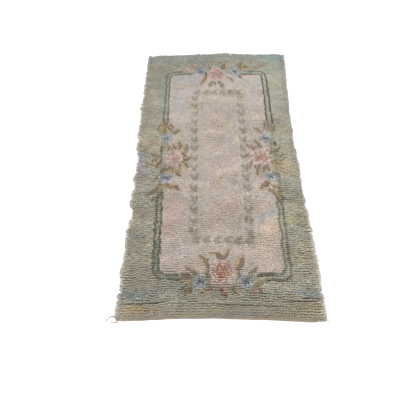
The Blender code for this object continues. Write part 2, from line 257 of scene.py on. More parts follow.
# leaves: place, way it points in degrees, length, width, two halves' colours
LEAVES = (
    # x,      y,      turn, long,  wide,  light half, dark half
    # over the top rose
    (+0.139, +0.660, 250, 0.055, 0.034, LEAF_GOLD, LEAF_OLIVE),
    (+0.166, +0.655, 300, 0.036, 0.018, LEAF_TAN, LEAF_BROWN),
    (+0.050, +0.658, 270, 0.050, 0.016, LEAF_TAN, LEAF_BROWN),
    (+0.034, +0.650, 265, 0.044, 0.013, LEAF_OLIVE, LINE_GREEN),
    (-0.034, +0.652, 280, 0.046, 0.013, SAGE_BAND, LEAF_OLIVE),
    (-0.124, +0.668, 300, 0.040, 0.016, LEAF_TAN, LEAF_BROWN),
    (-0.142, +0.632, 285, 0.044, 0.024, LEAF_TAN, ROSE_PALE),
    (-0.056, +0.566, 245, 0.058, 0.022, LEAF_TAN, LEAF_BROWN),
    (-0.074, +0.534, 230, 0.040, 0.018, LEAF_TAN, LEAF_OLIVE),
    (+0.066, +0.560, 300, 0.048, 0.020, LEAF_GREY, ROSE_PALE),
    (+0.082, +0.548, 285, 0.036, 0.016, LEAF_GREY, LEAF_TAN),
    (+0.128, +0.575, 290, 0.034, 0.014, LEAF_GREY, LEAF_OLIVE),
    (-0.030, +0.516, 235, 0.042, 0.020, LEAF_GREY, LEAF_OLIVE),
    (-0.008, +0.520, 265, 0.034, 0.016, LEAF_GREY, LEAF_OLIVE),
    (+0.026, +0.512, 285, 0.054, 0.024, LEAF_GREY, LEAF_OLIVE),
    (-0.060, +0.604, 100, 0.034, 0.014, LEAF_OLIVE, LINE_GREEN),
    # left spray
    (-0.274, +0.212, 76, 0.066, 0.014, LEAF_TAN, LEAF_OLIVE),
    (-0.242, +0.208, 102, 0.062, 0.015, LEAF_TAN, LEAF_BROWN),
    (-0.262, +0.186, 84, 0.044, 0.024, LEAF_GOLD, LEAF_BROWN),
    (-0.234, +0.190, 125, 0.044, 0.018, LEAF_TAN, LEAF_BROWN),
    (-0.200, +0.180, 30, 0.042, 0.024, LEAF_TAN, LEAF_OLIVE),
    (-0.222, +0.075, 125, 0.044, 0.016, LEAF_OLIVE, LEAF_TAN),
    (-0.183, +0.092, 85, 0.052, 0.023, LEAF_TAN, LEAF_OLIVE),
    (-0.205, +0.083, 110, 0.036, 0.015, LEAF_OLIVE, LEAF_TAN),
    (-0.153, +0.066, 70, 0.060, 0.028, LEAF_TAN, LEAF_OLIVE),
    (-0.138, +0.012, 0, 0.050, 0.026, LEAF_TAN, LEAF_OLIVE),
    (-0.158, +0.028, 330, 0.036, 0.014, LEAF_BROWN, LEAF_OLIVE),
    (-0.152, -0.030, 300, 0.050, 0.021, LEAF_OLIVE, LEAF_TAN),
    (-0.172, -0.035, 280, 0.034, 0.014, LEAF_TAN, LEAF_OLIVE),
    (-0.288, +0.030, 155, 0.054, 0.018, LEAF_OLIVE, LEAF_TAN),
    (-0.286, -0.006, 205, 0.050, 0.020, LEAF_TAN, LEAF_OLIVE),
    (-0.318, -0.026, 150, 0.036, 0.012, LEAF_TAN, LEAF_OLIVE),
    (-0.270, -0.032, 240, 0.048, 0.018, LEAF_TAN, LEAF_BROWN),
    (-0.222, -0.056, 190, 0.046, 0.026, LEAF_GOLD, LEAF_OLIVE),
    (-0.188, -0.060, 345, 0.050, 0.024, LEAF_GOLD, LEAF_TAN),
    (-0.176, -0.090, 310, 0.040, 0.015, LEAF_OLIVE, LEAF_TAN),
    (-0.228, -0.150, 175, 0.056, 0.022, LEAF_GOLD, LEAF_BROWN),
    (-0.196, -0.150, 340, 0.036, 0.026, LEAF_GOLD, ROSE_MID),
    (-0.180, -0.164, 300, 0.036, 0.014, LEAF_OLIVE, LEAF_BROWN),
    (-0.272, -0.168, 215, 0.050, 0.018, LEAF_TAN, LEAF_OLIVE),
    (-0.256, -0.190, 240, 0.044, 0.016, LEAF_OLIVE, LEAF_TAN),
    (-0.288, +0.212, 66, 0.050, 0.010, LEAF_TAN, LEAF_OLIVE),
    (-0.258, +0.214, 90, 0.058, 0.011, LEAF_GOLD, LEAF_OLIVE),
    (-0.224, +0.216, 112, 0.040, 0.009, LEAF_TAN, LEAF_BROWN),
    (-0.262, -0.100, 200, 0.050, 0.014, LEAF_BROWN, LEAF_OLIVE),
    (-0.296, -0.190, 205, 0.046, 0.014, LEAF_OLIVE, LEAF_BROWN),
    (-0.284, -0.225, 220, 0.040, 0.013, LEAF_OLIVE, LINE_GREEN),
    (-0.240, +0.062, 140, 0.036, 0.014, LEAF_TAN, LEAF_OLIVE),
    (-0.256, -0.066, 225, 0.040, 0.014, LEAF_OLIVE, LEAF_BROWN),
    # right spray
    (+0.196, +0.178, 120, 0.050, 0.022, LEAF_TAN, LEAF_BROWN),
    (+0.234, +0.212, 75, 0.054, 0.015, LEAF_TAN, LEAF_OLIVE),
    (+0.257, +0.206, 95, 0.056, 0.014, LEAF_BROWN, LEAF_TAN),
    (+0.277, +0.192, 60, 0.046, 0.016, LEAF_TAN, LEAF_OLIVE),
    (+0.247, +0.182, 90, 0.036, 0.016, LEAF_TAN, ROSE_PALE),
    (+0.187, +0.100, 110, 0.046, 0.018, LEAF_TAN, LEAF_OLIVE),
    (+0.203, +0.086, 100, 0.034, 0.014, LEAF_OLIVE, LEAF_TAN),
    (+0.151, +0.068, 120, 0.056, 0.026, ROSE_PALE, LEAF_BROWN),
    (+0.170, +0.062, 118, 0.050, 0.022, ROSE_PALE, LEAF_BROWN),
    (+0.142, +0.014, 185, 0.048, 0.024, LEAF_TAN, LEAF_BROWN),
    (+0.158, -0.032, 245, 0.062, 0.016, LEAF_TAN, LEAF_BROWN),
    (+0.172, -0.040, 250, 0.040, 0.012, LEAF_OLIVE, LEAF_TAN),
    (+0.192, -0.062, 250, 0.060, 0.022, LEAF_GOLD, LEAF_BROWN),
    (+0.208, -0.052, 270, 0.040, 0.018, LEAF_OLIVE, LEAF_GOLD),
    (+0.236, -0.050, 280, 0.040, 0.026, LEAF_GOLD, LEAF_OLIVE),
    (+0.268, +0.052, 35, 0.054, 0.020, LEAF_GOLD, LEAF_OLIVE),
    (+0.286, +0.060, 50, 0.046, 0.014, LEAF_TAN, LEAF_OLIVE),
    (+0.288, +0.026, 10, 0.042, 0.018, LEAF_TAN, LEAF_OLIVE),
    (+0.280, -0.022, 340, 0.050, 0.024, LEAF_TAN, LEAF_OLIVE),
    (+0.290, -0.050, 310, 0.034, 0.016, LEAF_GOLD, LEAF_TAN),
    (+0.208, -0.152, 215, 0.054, 0.024, LEAF_TAN, LEAF_BROWN),
    (+0.222, -0.146, 30, 0.034, 0.014, LEAF_BROWN, LEAF_OLIVE),
    (+0.260, -0.158, 330, 0.046, 0.016, LEAF_TAN, LEAF_OLIVE),
    (+0.252, -0.186, 290, 0.040, 0.014, LEAF_TAN, LEAF_BROWN),
    (+0.272, -0.198, 300, 0.034, 0.012, LEAF_GOLD, LEAF_TAN),
    (+0.252, +0.060, 75, 0.044, 0.012, LEAF_TAN, LEAF_OLIVE),
    (+0.260, -0.030, 300, 0.044, 0.015, LEAF_GOLD, LEAF_TAN),
    (+0.272, -0.062, 285, 0.036, 0.014, LEAF_GOLD, LEAF_TAN),
    (+0.268, -0.226, 285, 0.036, 0.013, LEAF_TAN, LEAF_OLIVE),
    (+0.262, -0.006, 20, 0.040, 0.012, LEAF_TAN, LEAF_OLIVE),
    (+0.300, +0.000, 25, 0.034, 0.010, LEAF_GOLD, LEAF_OLIVE),
    (+0.272, -0.082, 335, 0.040, 0.011, LEAF_GOLD, LEAF_OLIVE),
    (+0.300, -0.078, 320, 0.034, 0.010, LEAF_TAN, LEAF_OLIVE),
    (+0.236, -0.178, 300, 0.034, 0.012, LEAF_TAN, LEAF_OLIVE),
    (+0.286, -0.176, 320, 0.034, 0.011, LEAF_GOLD, LEAF_OLIVE),
    (+0.284, -0.214, 310, 0.034, 0.011, LEAF_TAN, LEAF_OLIVE),
    # bottom spray
    (-0.012, -0.489, 155, 0.050, 0.022, LEAF_TAN, LEAF_OLIVE),
    (+0.004, -0.500, 160, 0.036, 0.014, LEAF_OLIVE, LEAF_BROWN),
    (+0.030, -0.484, 60, 0.048, 0.018, LEAF_TAN, LEAF_BROWN),
    (-0.062, -0.512, 120, 0.046, 0.026, LEAF_TAN, LEAF_OLIVE),
    (-0.050, -0.536, 100, 0.036, 0.018, LEAF_TAN, LEAF_OLIVE),
    (-0.048, -0.568, 80, 0.030, 0.018, LEAF_TAN, LEAF_BROWN),
    (+0.084, -0.524, 55, 0.056, 0.030, LEAF_GOLD, LEAF_BROWN),
    (+0.075, -0.572, 75, 0.036, 0.018, LEAF_TAN, LEAF_OLIVE),
    (-0.108, -0.552, 145, 0.050, 0.015, LEAF_OLIVE, LEAF_TAN),
    (-0.092, -0.570, 130, 0.030, 0.012, LEAF_OLIVE, LEAF_OLIVE),
    (+0.137, -0.556, 35, 0.048, 0.015, LEAF_TAN, LEAF_OLIVE),
    (-0.038, -0.634, 195, 0.036, 0.018, LEAF_PINK, LEAF_OLIVE),
    (-0.058, -0.646, 215, 0.028, 0.014, LEAF_PINK, LEAF_TAN),
    (+0.008, -0.628, 240, 0.034, 0.016, LEAF_BROWN, LEAF_OLIVE),
    (+0.020, -0.650, 290, 0.034, 0.018, LEAF_PINK, LEAF_BROWN),
    (+0.056, -0.632, 300, 0.050, 0.018, LEAF_BROWN, LEAF_OLIVE),
    (+0.070, -0.652, 315, 0.028, 0.012, LEAF_TAN, LEAF_BROWN),
    (-0.124, -0.646, 235, 0.036, 0.016, LEAF_TAN, LEAF_BROWN),
    (-0.108, -0.636, 250, 0.030, 0.012, LEAF_GREY, LEAF_BROWN),
    (-0.134, -0.628, 205, 0.028, 0.012, LEAF_TAN, LEAF_OLIVE),
    (+0.144, -0.638, 325, 0.044, 0.020, LEAF_BROWN, LEAF_TAN),
    (+0.128, -0.642, 270, 0.026, 0.014, LEAF_PINK, LEAF_TAN),
    (+0.154, -0.606, 15, 0.040, 0.026, LEAF_GOLD, LEAF_OLIVE),
    (-0.130, -0.592, 180, 0.042, 0.034, LEAF_TAN, LEAF_BROWN),
)
# small blue flowers: place, size, how wide, turn, how pale (or, below 0, how blue)
BLUES = (
    (-0.088, +0.622, 0.030, 1.00, 0.2, -0.30), (+0.101, +0.614, 0.031, 1.12, 0.8, 0.08),
    (-0.242, +0.132, 0.032, 1.00, 0.1, 0.10), (-0.234, -0.106, 0.028, 1.35, 0.6, 0.05),
    (+0.233, +0.130, 0.029, 1.10, 0.4, 0.22), (+0.242, -0.104, 0.029, 1.05, 0.0, 0.12),
    (-0.074, -0.605, 0.030, 1.00, 0.3, 0.06), (+0.106, -0.603, 0.030, 1.00, 0.7, 0.00),
)
# pale petals that hang below the bottom rose: place, half width, half height, colour
PETALS = (
    (+0.038, -0.604, 0.021, 0.021, ROSE_LIGHT), (+0.010, -0.612, 0.018, 0.018, ROSE_LILAC),
    (-0.016, -0.602, 0.016, 0.017, ROSE_PALE), (+0.060, -0.580, 0.014, 0.020, ROSE_LIGHT),
    (+0.026, -0.622, 0.014, 0.012, ROSE_PALE),
)
# roses: place, size, how tall, turn, how pale the petals' rims are, how faded
ROSES = (
    (+0.003, +0.594, 0.049, 1.10, 0.5, 0.10, 0.42), (+0.014, -0.560, 0.046, 1.05, 0.0, 0.16, 0.02),
)
# pale roses seen open: place, size, how tall, turn, how bold the strokes are
PALE_ROSES = (
    (-0.204, +0.010, 0.045, 1.20, 2.2, 0.55), (+0.200, +0.014, 0.050, 1.16, 4.0, 1.00),
)


def over(base, colour, mask):
    """Paint colour over base where mask is 1."""
    return base + (colour - base) * np.asarray(mask)[:, None]


def skew(y):
    """The frame drifts a little to the right towards the near end."""
    return 0.0115 * np.clip((0.425 - y) / 0.765, -0.2, 1.3)


def line_drift(x, y):
    """How far out of their places the frame's outer and inner lines were knotted."""
    left, right = ease((-x - 0.13) / 0.05), ease((x - 0.13) / 0.05)
    side = ease((y + 0.585) / 0.030)
    low_l, low_r = ease((-0.06 - y) / 0.12), ease((-0.12 - y) / 0.08)
    high = ease((y - 0.26) / 0.10)
    outer = side * (left * (0.0046 * low_l - 0.0034 * high) - right * (0.0042 * low_r + 0.0012 * high))
    inner = side * (left * (0.0052 * low_l + 0.0024 * low_l * ease((y + 0.34) / 0.08)) - right * 0.0018)
    outer = outer + (1 - side) * (0.0020 + 0.0050 * ease((x + 0.05) / 0.14))
    inner = inner + (1 - side) * (-0.0048 + 0.0086 * ease((x + 0.05) / 0.14))
    return outer, inner


def round_box(x, y, half_w, y_low, y_high, radius):
    """Signed distance to a rounded rectangle, negative inside."""
    cy, half_h = (y_low + y_high) / 2, (y_high - y_low) / 2
    qx = np.abs(x) - half_w + radius
    qy = np.abs(y - cy) - half_h + radius
    return (np.hypot(np.maximum(qx, 0), np.maximum(qy, 0))
            + np.minimum(np.maximum(qx, qy), 0) - radius)


def paint_leaf(x, y, rgb, row, cover=1.0):
    lx, ly, turn, length, width, light, dark = row
    a = math.radians(turn)
    u = (x - lx) * math.cos(a) + (y - ly) * math.sin(a)
    v = -(x - lx) * math.sin(a) + (y - ly) * math.cos(a)
    v = v - 0.10 * width * np.sin(u / length * math.pi)
    along = np.clip(u / length + 0.5, 0, 1)
    half = 0.5 * width * np.sin(math.pi * along ** 0.85) ** 0.75
    inside = (np.abs(v) < half) & (np.abs(u) < length / 2)
    side = ease((v / (0.3 * width)) + 0.5)
    tone = dark[None, :] + (light - dark)[None, :] * side[:, None]
    rib = (np.abs(v) < 0.0024) & (u < 0.30 * length)
    tone = np.where(rib[:, None], tone * 0.60, tone)
    rim = (half - np.abs(v) < 0.0030) & (v < 0)
    tone = np.where(rim[:, None], tone * 0.78, tone)
    worn = np.clip(0.94 + 0.35 * value_noise(x / 0.007, y / 0.007, 76), 0.55, 1.0)
    return over(rgb, tone, inside * cover * worn)


def paint_blue(x, y, rgb, row):
    """A small flower: pale petals, a dark heart, and dark strokes from it into the petals."""
    cx, cy, size, wide, turn, pale = row
    dx, dy = (x - cx) / wide, y - cy
    r = np.hypot(dx, dy) / size
    a = np.arctan2(dy, dx) + turn
    grain = value_noise(x / 0.006, y / 0.006, 71)
    grain2 = value_noise(x / 0.009, y / 0.008, 74)
    lobes = 0.80 + 0.22 * np.abs(np.cos(2.5 * a)) + 0.10 * grain2
    petal = r < lobes
    tone = BLUE_PALE + (BLUE_MID - BLUE_PALE) * np.clip(0.30 + 0.75 * grain, 0, 1)[:, None]
    edge = np.abs(np.cos(2.5 * a)) < 0.26
    tone = np.where((edge & (r > 0.30) & (grain2 > -0.5))[:, None], BLUE_MID * 0.78, tone)
    stroke = (np.abs(np.sin(2.5 * a)) < 0.30 + 0.2 * grain) & (r < 0.62 + 0.2 * grain2)
    tone = np.where(stroke[:, None], BLUE_DARK * 1.25, tone)
    tone = np.where((r < 0.30 + 0.12 * grain2)[:, None], BLUE_DARK, tone)
    tone = np.where(((r < 0.12) & (grain > -0.2))[:, None], LEAF_GREY, tone)
    tone = over(tone, linear(198, 202, 202), np.full(len(x), max(pale, 0.0)))
    tone = over(tone, linear(140, 150, 196), np.full(len(x), max(-pale, 0.0)))
    return np.where(petal[:, None], tone, rgb)


def paint_rose(x, y, rgb, row):
    """A full rose: scalloped rings of petals round a small turned heart."""
    cx, cy, size, tall, turn, pale, faded = row
    dx, dy = x - cx, (y - cy) / tall
    r = np.hypot(dx, dy) / size
    a = np.arctan2(dy, dx) + turn
    shade = value_noise(x / 0.008, y / 0.009, 73)
    wave = value_noise(x / 0.011, y / 0.011, 75)
    ragged = 0.88 + 0.15 * np.abs(np.cos(2.5 * a + 0.4)) + 0.07 * wave
    tone = ROSE_LIGHT + (ROSE_PALE - ROSE_LIGHT) * np.clip(0.60 + 0.8 * shade, 0, 1)[:, None]
    low = np.sin(a - turn + 0.3) < -0.35
    tone = np.where((low & (shade > -0.3))[:, None], over(tone, ROSE_LILAC, np.full(len(x), 0.7)), tone)
    # rings, outermost first: where it starts, petals, how they are turned, tones
    light, deep_rim = ROSE_PALE + (ROSE_LIGHT - ROSE_PALE) * pale, ROSE_DEEP + (ROSE_MID - ROSE_DEEP) * pale
    mid = ROSE_MID + (ROSE_PALE - ROSE_MID) * pale
    for start, petals, offset, inner, rim in (
            (0.80, 5, 0.3, light, mid), (0.60, 5, 1.1, mid, deep_rim),
            (0.42, 4, 0.2, light, deep_rim), (0.28, 3, 0.9, ROSE_MID, deep_rim),
            (0.14, 2, 0.0, ROSE_MID, ROSE_DEEP)):
        bound = start - 0.10 + 0.13 * np.abs(np.cos(petals * 0.5 * a + offset)) + 0.05 * wave
        inside = r < bound
        on_rim = inside & (r > bound - 0.095)
        soft = np.clip(0.5 + 0.7 * shade, 0, 1)[:, None]
        tone = np.where(inside[:, None], inner * (0.97 + 0.06 * soft), tone)
        tone = np.where((on_rim & (shade > -0.55))[:, None], rim, tone)
    tone = over(tone, linear(176, 128, 88), 0.55 * (1 - 2 * faded) * (r < 0.30 + 0.08 * wave))
    tone = over(tone, linear(184, 169, 172), np.full(len(x), faded))
    return np.where((r < ragged)[:, None], tone, rgb)


def paint_petal(x, y, rgb, row):
    cx, cy, half_w, half_h, colour = row
    r = np.hypot((x - cx) / half_w, (y - cy) / half_h) + 0.22 * value_noise(x / 0.009, y / 0.009, 79)
    tone = over(np.tile(colour, (len(x), 1)), linear(192, 154, 142), 0.55 * ((r > 0.72) & (y < cy)))
    return over(rgb, tone, 0.86 * (r < 1.0))


def paint_pale_rose(x, y, rgb, row):
    """An open rose: long pale petals round a small pink heart."""
    cx, cy, size, tall, turn, bold = row
    dx, dy = x - cx, (y - cy) / tall
    r = np.hypot(dx, dy) / size
    a = np.arctan2(dy, dx) + turn
    shade = value_noise(x / 0.008, y / 0.009, 77)
    wave = value_noise(x / 0.011, y / 0.012, 78)
    bound = 0.82 + 0.20 * np.abs(np.cos(4 * a + 0.6 * wave)) + 0.08 * wave
    tone = over(np.tile(linear(212, 202, 189), (len(x), 1)), linear(202, 183, 166), np.clip(0.35 + 0.8 * shade, 0, 1))
    low = np.sin(a - turn + 0.2) < -0.30
    tone = over(tone, linear(210, 192, 194), 0.6 * low)
    # rays between the petals, then the middle petals and the heart
    ray = (np.abs(np.sin(4 * a + 0.5 * wave)) < 0.36) & (r > 0.34)
    tone = over(tone, linear(166, 142, 116), (0.45 + 0.35 * bold) * ray)
    middle = r < 0.62 + 0.10 * np.cos(5 * a) + 0.06 * wave
    tone = over(tone, linear(206, 174, 162), (0.35 + 0.25 * bold) * middle)
    petal = middle & (np.abs(np.sin(2.5 * a + 1.0 + 2.2 * r)) < 0.24 + 0.12 * bold)
    tone = over(tone, linear(178, 126, 106), (0.22 + 0.50 * bold) * petal)
    heart = np.hypot(dx - 0.10 * size, dy + 0.06 * size) / size < 0.36 - 0.05 * bold + 0.08 * wave
    tone = over(tone, linear(201, 158, 147), (0.58 + 0.12 * bold) * heart)
    tone = over(tone, linear(174, 124, 110), (0.30 + 0.36 * bold) * (heart & (shade > 0.10)))
    return np.where((r < bound)[:, None], tone, rgb)


def line_gaps(x, y, outer):
    """Where the frame's two lines stop for the sprays."""
    drawn = np.ones(len(x), bool)
    top, bottom = y > 0.5, y < -0.5
    if outer:
        drawn &= ~(top & (x > -0.180) & (x < 0.172))
        drawn &= ~(bottom & (x > -0.152) & (x < 0.176))
        drawn &= ~((x < -0.2) & (y < 0.235) & (y > 0.085))
        drawn &= ~((x < -0.2) & (y < -0.045) & (y > -0.150))
        drawn &= ~((x > 0.2) & (y < 0.225) & (y > 0.110))
        drawn &= ~((x > 0.2) & (y < 0.085) & (y > -0.075))
    else:
        drawn &= ~(top & (x > -0.132) & (x < 0.130))
        drawn &= ~(bottom & (x > -0.112) & (x < 0.148))
        drawn &= ~((x < -0.2) & (y < 0.240) & (y > -0.185))
        drawn &= ~((x > 0.2) & (y < 0.240) & (y > -0.190))
    return drawn


def design(x, y):
    """The rug's colour, linear, at places in rug coordinates."""
    x = x + 0.0012 * value_noise(x / 0.030, y / 0.030, 11)
    y = y + 0.0018 * value_noise(x / 0.030, y / 0.030, 12)
    count = len(x)
    xs = x - skew(y)
    outer = round_box(xs, y, 0.2710, -0.592, 0.6190, 0.046)
    inner = round_box(xs, y, 0.2485, -0.572, 0.5960, 0.028)
    drift_out, drift_in = line_drift(xs, y)
    outer, inner = outer - drift_out, inner - drift_in
    rgb = np.tile(SAGE, (count, 1))
    # slow drift of the border's dye along the rows
    drift = value_noise(x / 0.16, y / 0.030, 13)
    rgb = over(rgb, linear(174, 178, 166), 0.42 * np.clip(drift, 0, 1))
    rgb = over(rgb, linear(194, 178, 154), 0.48 * np.clip(-drift, 0, 1))
    fade = (0.98 + 0.06 * ease(x / 0.40 + 0.1) - 0.105 * ease((y - 0.56) / 0.12)
            - 0.08 * ease((y - 0.20) / 0.15) * ease((0.1 - x) / 0.2)
            - 0.06 * ease((-0.30 - y) / 0.30) - 0.013 * ease((-0.60 - y) / 0.03) * (1 + 1.2 * ease((x - 0.12) / 0.06)) - 0.024 * ease((-0.25 - y) / 0.15) * ease((0.15 - x) / 0.1) + 0.04 * ease((x - 0.2) / 0.1) * ease((-0.1 - y) / 0.2) * ease((y + 0.64) / 0.1))
    far = ease((y - 0.15) / 0.30)[:, None]
    rgb = rgb * fade[:, None] * (1 - far * np.array((0.080, 0.045, 0.0)))
    band = (outer < 0) & (inner > 0)
    rgb = np.where(band[:, None], SAGE_BAND * fade[:, None], rgb)
    field = inner <= 0
    rgb = np.where(field[:, None], CREAM, rgb)
    rgb = rgb * (1 - (field * ease((-0.15 - y) / 0.25))[:, None] * np.array((0.020, 0.022, 0.045)))
    tint = value_noise(x / 0.060, y / 0.045, 14)
    tint2 = value_noise(x / 0.050, y / 0.060, 15)
    rgb = over(rgb, linear(212, 190, 182), field * 0.45 * np.clip(tint, 0, 1))
    rgb = over(rgb, linear(202, 198, 200), field * 0.40 * np.clip(-tint, 0, 1))
    rgb = over(rgb, linear(216, 200, 176), field * 0.35 * np.clip(tint2, 0, 1))
    for px, py, hx, hy, tilt, colour, strength in PATCHES:
        u = (x - px) * math.cos(tilt) + (y - py) * math.sin(tilt)
        v = -(x - px) * math.sin(tilt) + (y - py) * math.cos(tilt)
        reach = np.hypot(u / hx, v / hy) + 0.28 * value_noise(x / 0.018, y / 0.010, 16)
        rgb = over(rgb, colour, strength * ease(1.35 - reach))
    # the frame's lines, thicker towards the near end
    thick = 0.0046 + 0.0010 * np.clip(-y / 0.5, -0.2, 1) - 0.0012 * ease((-0.560 - y) / 0.015)
    faint = (0.34 * ease((xs - 0.2) / 0.02) * ease((-0.14 - y) / 0.06) * ease((y + 0.60) / 0.04)
             + 0.50 * ease((xs - 0.2) / 0.02) * ((y > -0.185) & (y < -0.070))
             + 0.26 * ease((-xs - 0.2) / 0.02) * ease((y - 0.24) / 0.05)
             + 0.12 * ease((-xs - 0.2) / 0.02) * ease((-0.10 - y) / 0.10) * ease((y + 0.36) / 0.08))
    wobble = 0.0012 * value_noise(x / 0.020, y / 0.014, 17)
    for dist, which in ((outer, True), (inner, False)):
        on = (np.abs(dist + wobble) < thick) & line_gaps(x, y, which)
        tone = LINE_GREEN * (0.98 - 0.10 * ease(y / 0.3) + 0.20 * value_noise(x / 0.010, y / 0.010, 18))[:, None]
        rgb = over(rgb, tone, on * np.clip(1 - faint, 0.2, 1))
    blotch = (value_noise(x / 0.009, y / 0.010, 19) + 0.5 * value_noise(x / 0.020, y / 0.030, 20) > 0.25)
    stretch = ease((-0.13 - y) / 0.10) * (xs < 0) + np.where(xs < 0, 0.6, 0.3) * (y > -0.20) * (y < 0.23) * (np.abs(xs) > 0.2)
    near_line = (outer < 0.004) & (inner > -0.006) & (np.abs(xs) > 0.20)
    rgb = over(rgb, LINE_GREEN * 0.86, 0.58 * blotch * near_line * stretch)
    # a soft band under the inner rectangle's leaves
    ring = round_box(xs - 0.004, y, 0.118, -0.424, 0.452, 0.012)
    rgb = over(rgb, GARLAND, 0.27 * np.exp(-(ring / 0.013) ** 2))
    rgb = garland(x, y, rgb)
    bare = rgb
    for row in LEAVES:
        rgb = paint_leaf(x, y, rgb, row[:3] + (row[3] * 1.18, row[4] * 1.36) + row[5:], 0.92)
    # the right spray's leaves are the most faded
    rgb = over(rgb, bare, 0.15 * ease((xs - 0.12) / 0.04) * ease((y + 0.12) / 0.05) * ease((0.27 - y) / 0.03))
    for row in BLUES:
        rgb = paint_blue(x, y, rgb, row)
    for row in PETALS:
        rgb = paint_petal(x, y, rgb, row)
    for row in ROSES:
        rgb = paint_rose(x, y, rgb, row)
    for row in PALE_ROSES:
        rgb = paint_pale_rose(x, y, rgb, row)
    return rgb


def garland_leaves():
    """Pairs of small leaves along the inner rectangle, with a bud between them."""
    rows = []
    half_w, y_low, y_high = 0.117, -0.420, 0.450
    steps = 15
    for side in (-1, 1):
        for i in range(steps):
            y = y_high - 0.040 - (y_high - y_low - 0.070) * i / (steps - 1)
            x = side * half_w + 0.004 + float(skew(np.array(y)))
            rows.append((x, y, 90.0))
    for i in range(6):
        x = -half_w + 0.010 + (2 * half_w - 0.016) * i / 5
        rows.append((x + 0.004, y_high, 0.0))
        rows.append((x + 0.015, y_low - 0.004, 0.0))
    return rows


GARLAND_ROWS = garland_leaves()


def garland(x, y, rgb):
    rgb = rgb.copy()
    for number, (gx, gy, way) in enumerate(GARLAND_ROWS):
        near = (np.abs(x - gx) < 0.045) & (np.abs(y - gy) < 0.045)
        if not near.any():
            continue
        sub_x, sub_y, sub = x[near], y[near], rgb[near]
        pale = 0.5 + 0.5 * math.sin(number * 2.4)
        light = GARLAND + (GARLAND_DARK - GARLAND) * 0.45 * pale
        a0 = math.radians(way)
        for sign, size in ((-1, 0.045), (1, 0.040)):
            a = math.radians(way + sign * 17 + 180)
            cx = gx - sign * 0.0085 * math.sin(a0) + (0.003 if sign > 0 else -0.002) * math.cos(a0)
            cy = gy + sign * 0.0085 * math.cos(a0) + (0.003 if sign > 0 else -0.002) * math.sin(a0)
            sub = paint_leaf(sub_x, sub_y, sub,
                             (cx, cy, math.degrees(a), size, 0.0195, light, GARLAND_DARK), 0.52)
        bud = np.hypot(sub_x - gx - 0.024 * math.cos(a0), sub_y - gy - 0.024 * math.sin(a0)) < 0.0055
        sub = over(sub, linear(226, 218, 188), 0.6 * bud)
        rgb[near] = sub
    return rgb


# ------------------------------------------------------------- the ground ---
def ground_place(s, t):
    """Ground weave from s across (0 left, 1 right) and t along (0 near, 1 far)."""
    y0 = -HALF_LENGTH + t * (2 * HALF_LENGTH - FAR_INSET)
    soft = 0.55
    left = -HALF_WIDTH - soft * station(SIDE_STATIONS, y0, 1) + SIDE_INSET - (1 - soft) * 0.002
    right = HALF_WIDTH + soft * station(SIDE_STATIONS, y0, 2) - SIDE_INSET + (1 - soft) * 0.002
    # the corners at the near end come out to the pile's own edge
    bare = ease(1.0 - (y0 + HALF_LENGTH) / 0.020)
    left = left + bare * (left_edge(y0) + 0.004 - left)
    right = right + bare * (right_edge(y0) - 0.004 - right)
    x = left + s * (right - left)
    near = near_edge(x)
    far = HALF_LENGTH + 0.45 * station(END_STATIONS, x, 2) - FAR_INSET
    return x, near + t * (far - near)


def parting_shift(x, y):
    """How the tips move, and sink, along the lines where the pile is parted."""
    dy = np.zeros(len(x))
    sink = np.zeros(len(x))
    for x0, y0, xm, ym, x1, y1, opening in PARTINGS:
        t = (x - x0) / (x1 - x0)
        tm = (xm - x0) / (x1 - x0)
        line = (y0 * (t - tm) * (t - 1) / tm + ym * t * (1 - t) / (tm * (1 - tm))
                + y1 * t * (t - tm) / (1 - tm))
        line = line + 0.0012 * value_noise(x / 0.022, x * 0 + y0, 21)
        there = (t > -0.06) & (t < 1.02)
        ends = ease(3.5 * np.minimum(t + 0.06, 1.02 - t)) * there
        d = y - line
        dy += ends * opening * np.sign(d) * np.exp(-(d / 0.007) ** 2)
        sink += ends * opening * 0.75 * np.exp(-(d / 0.0045) ** 2)
    return dy, sink


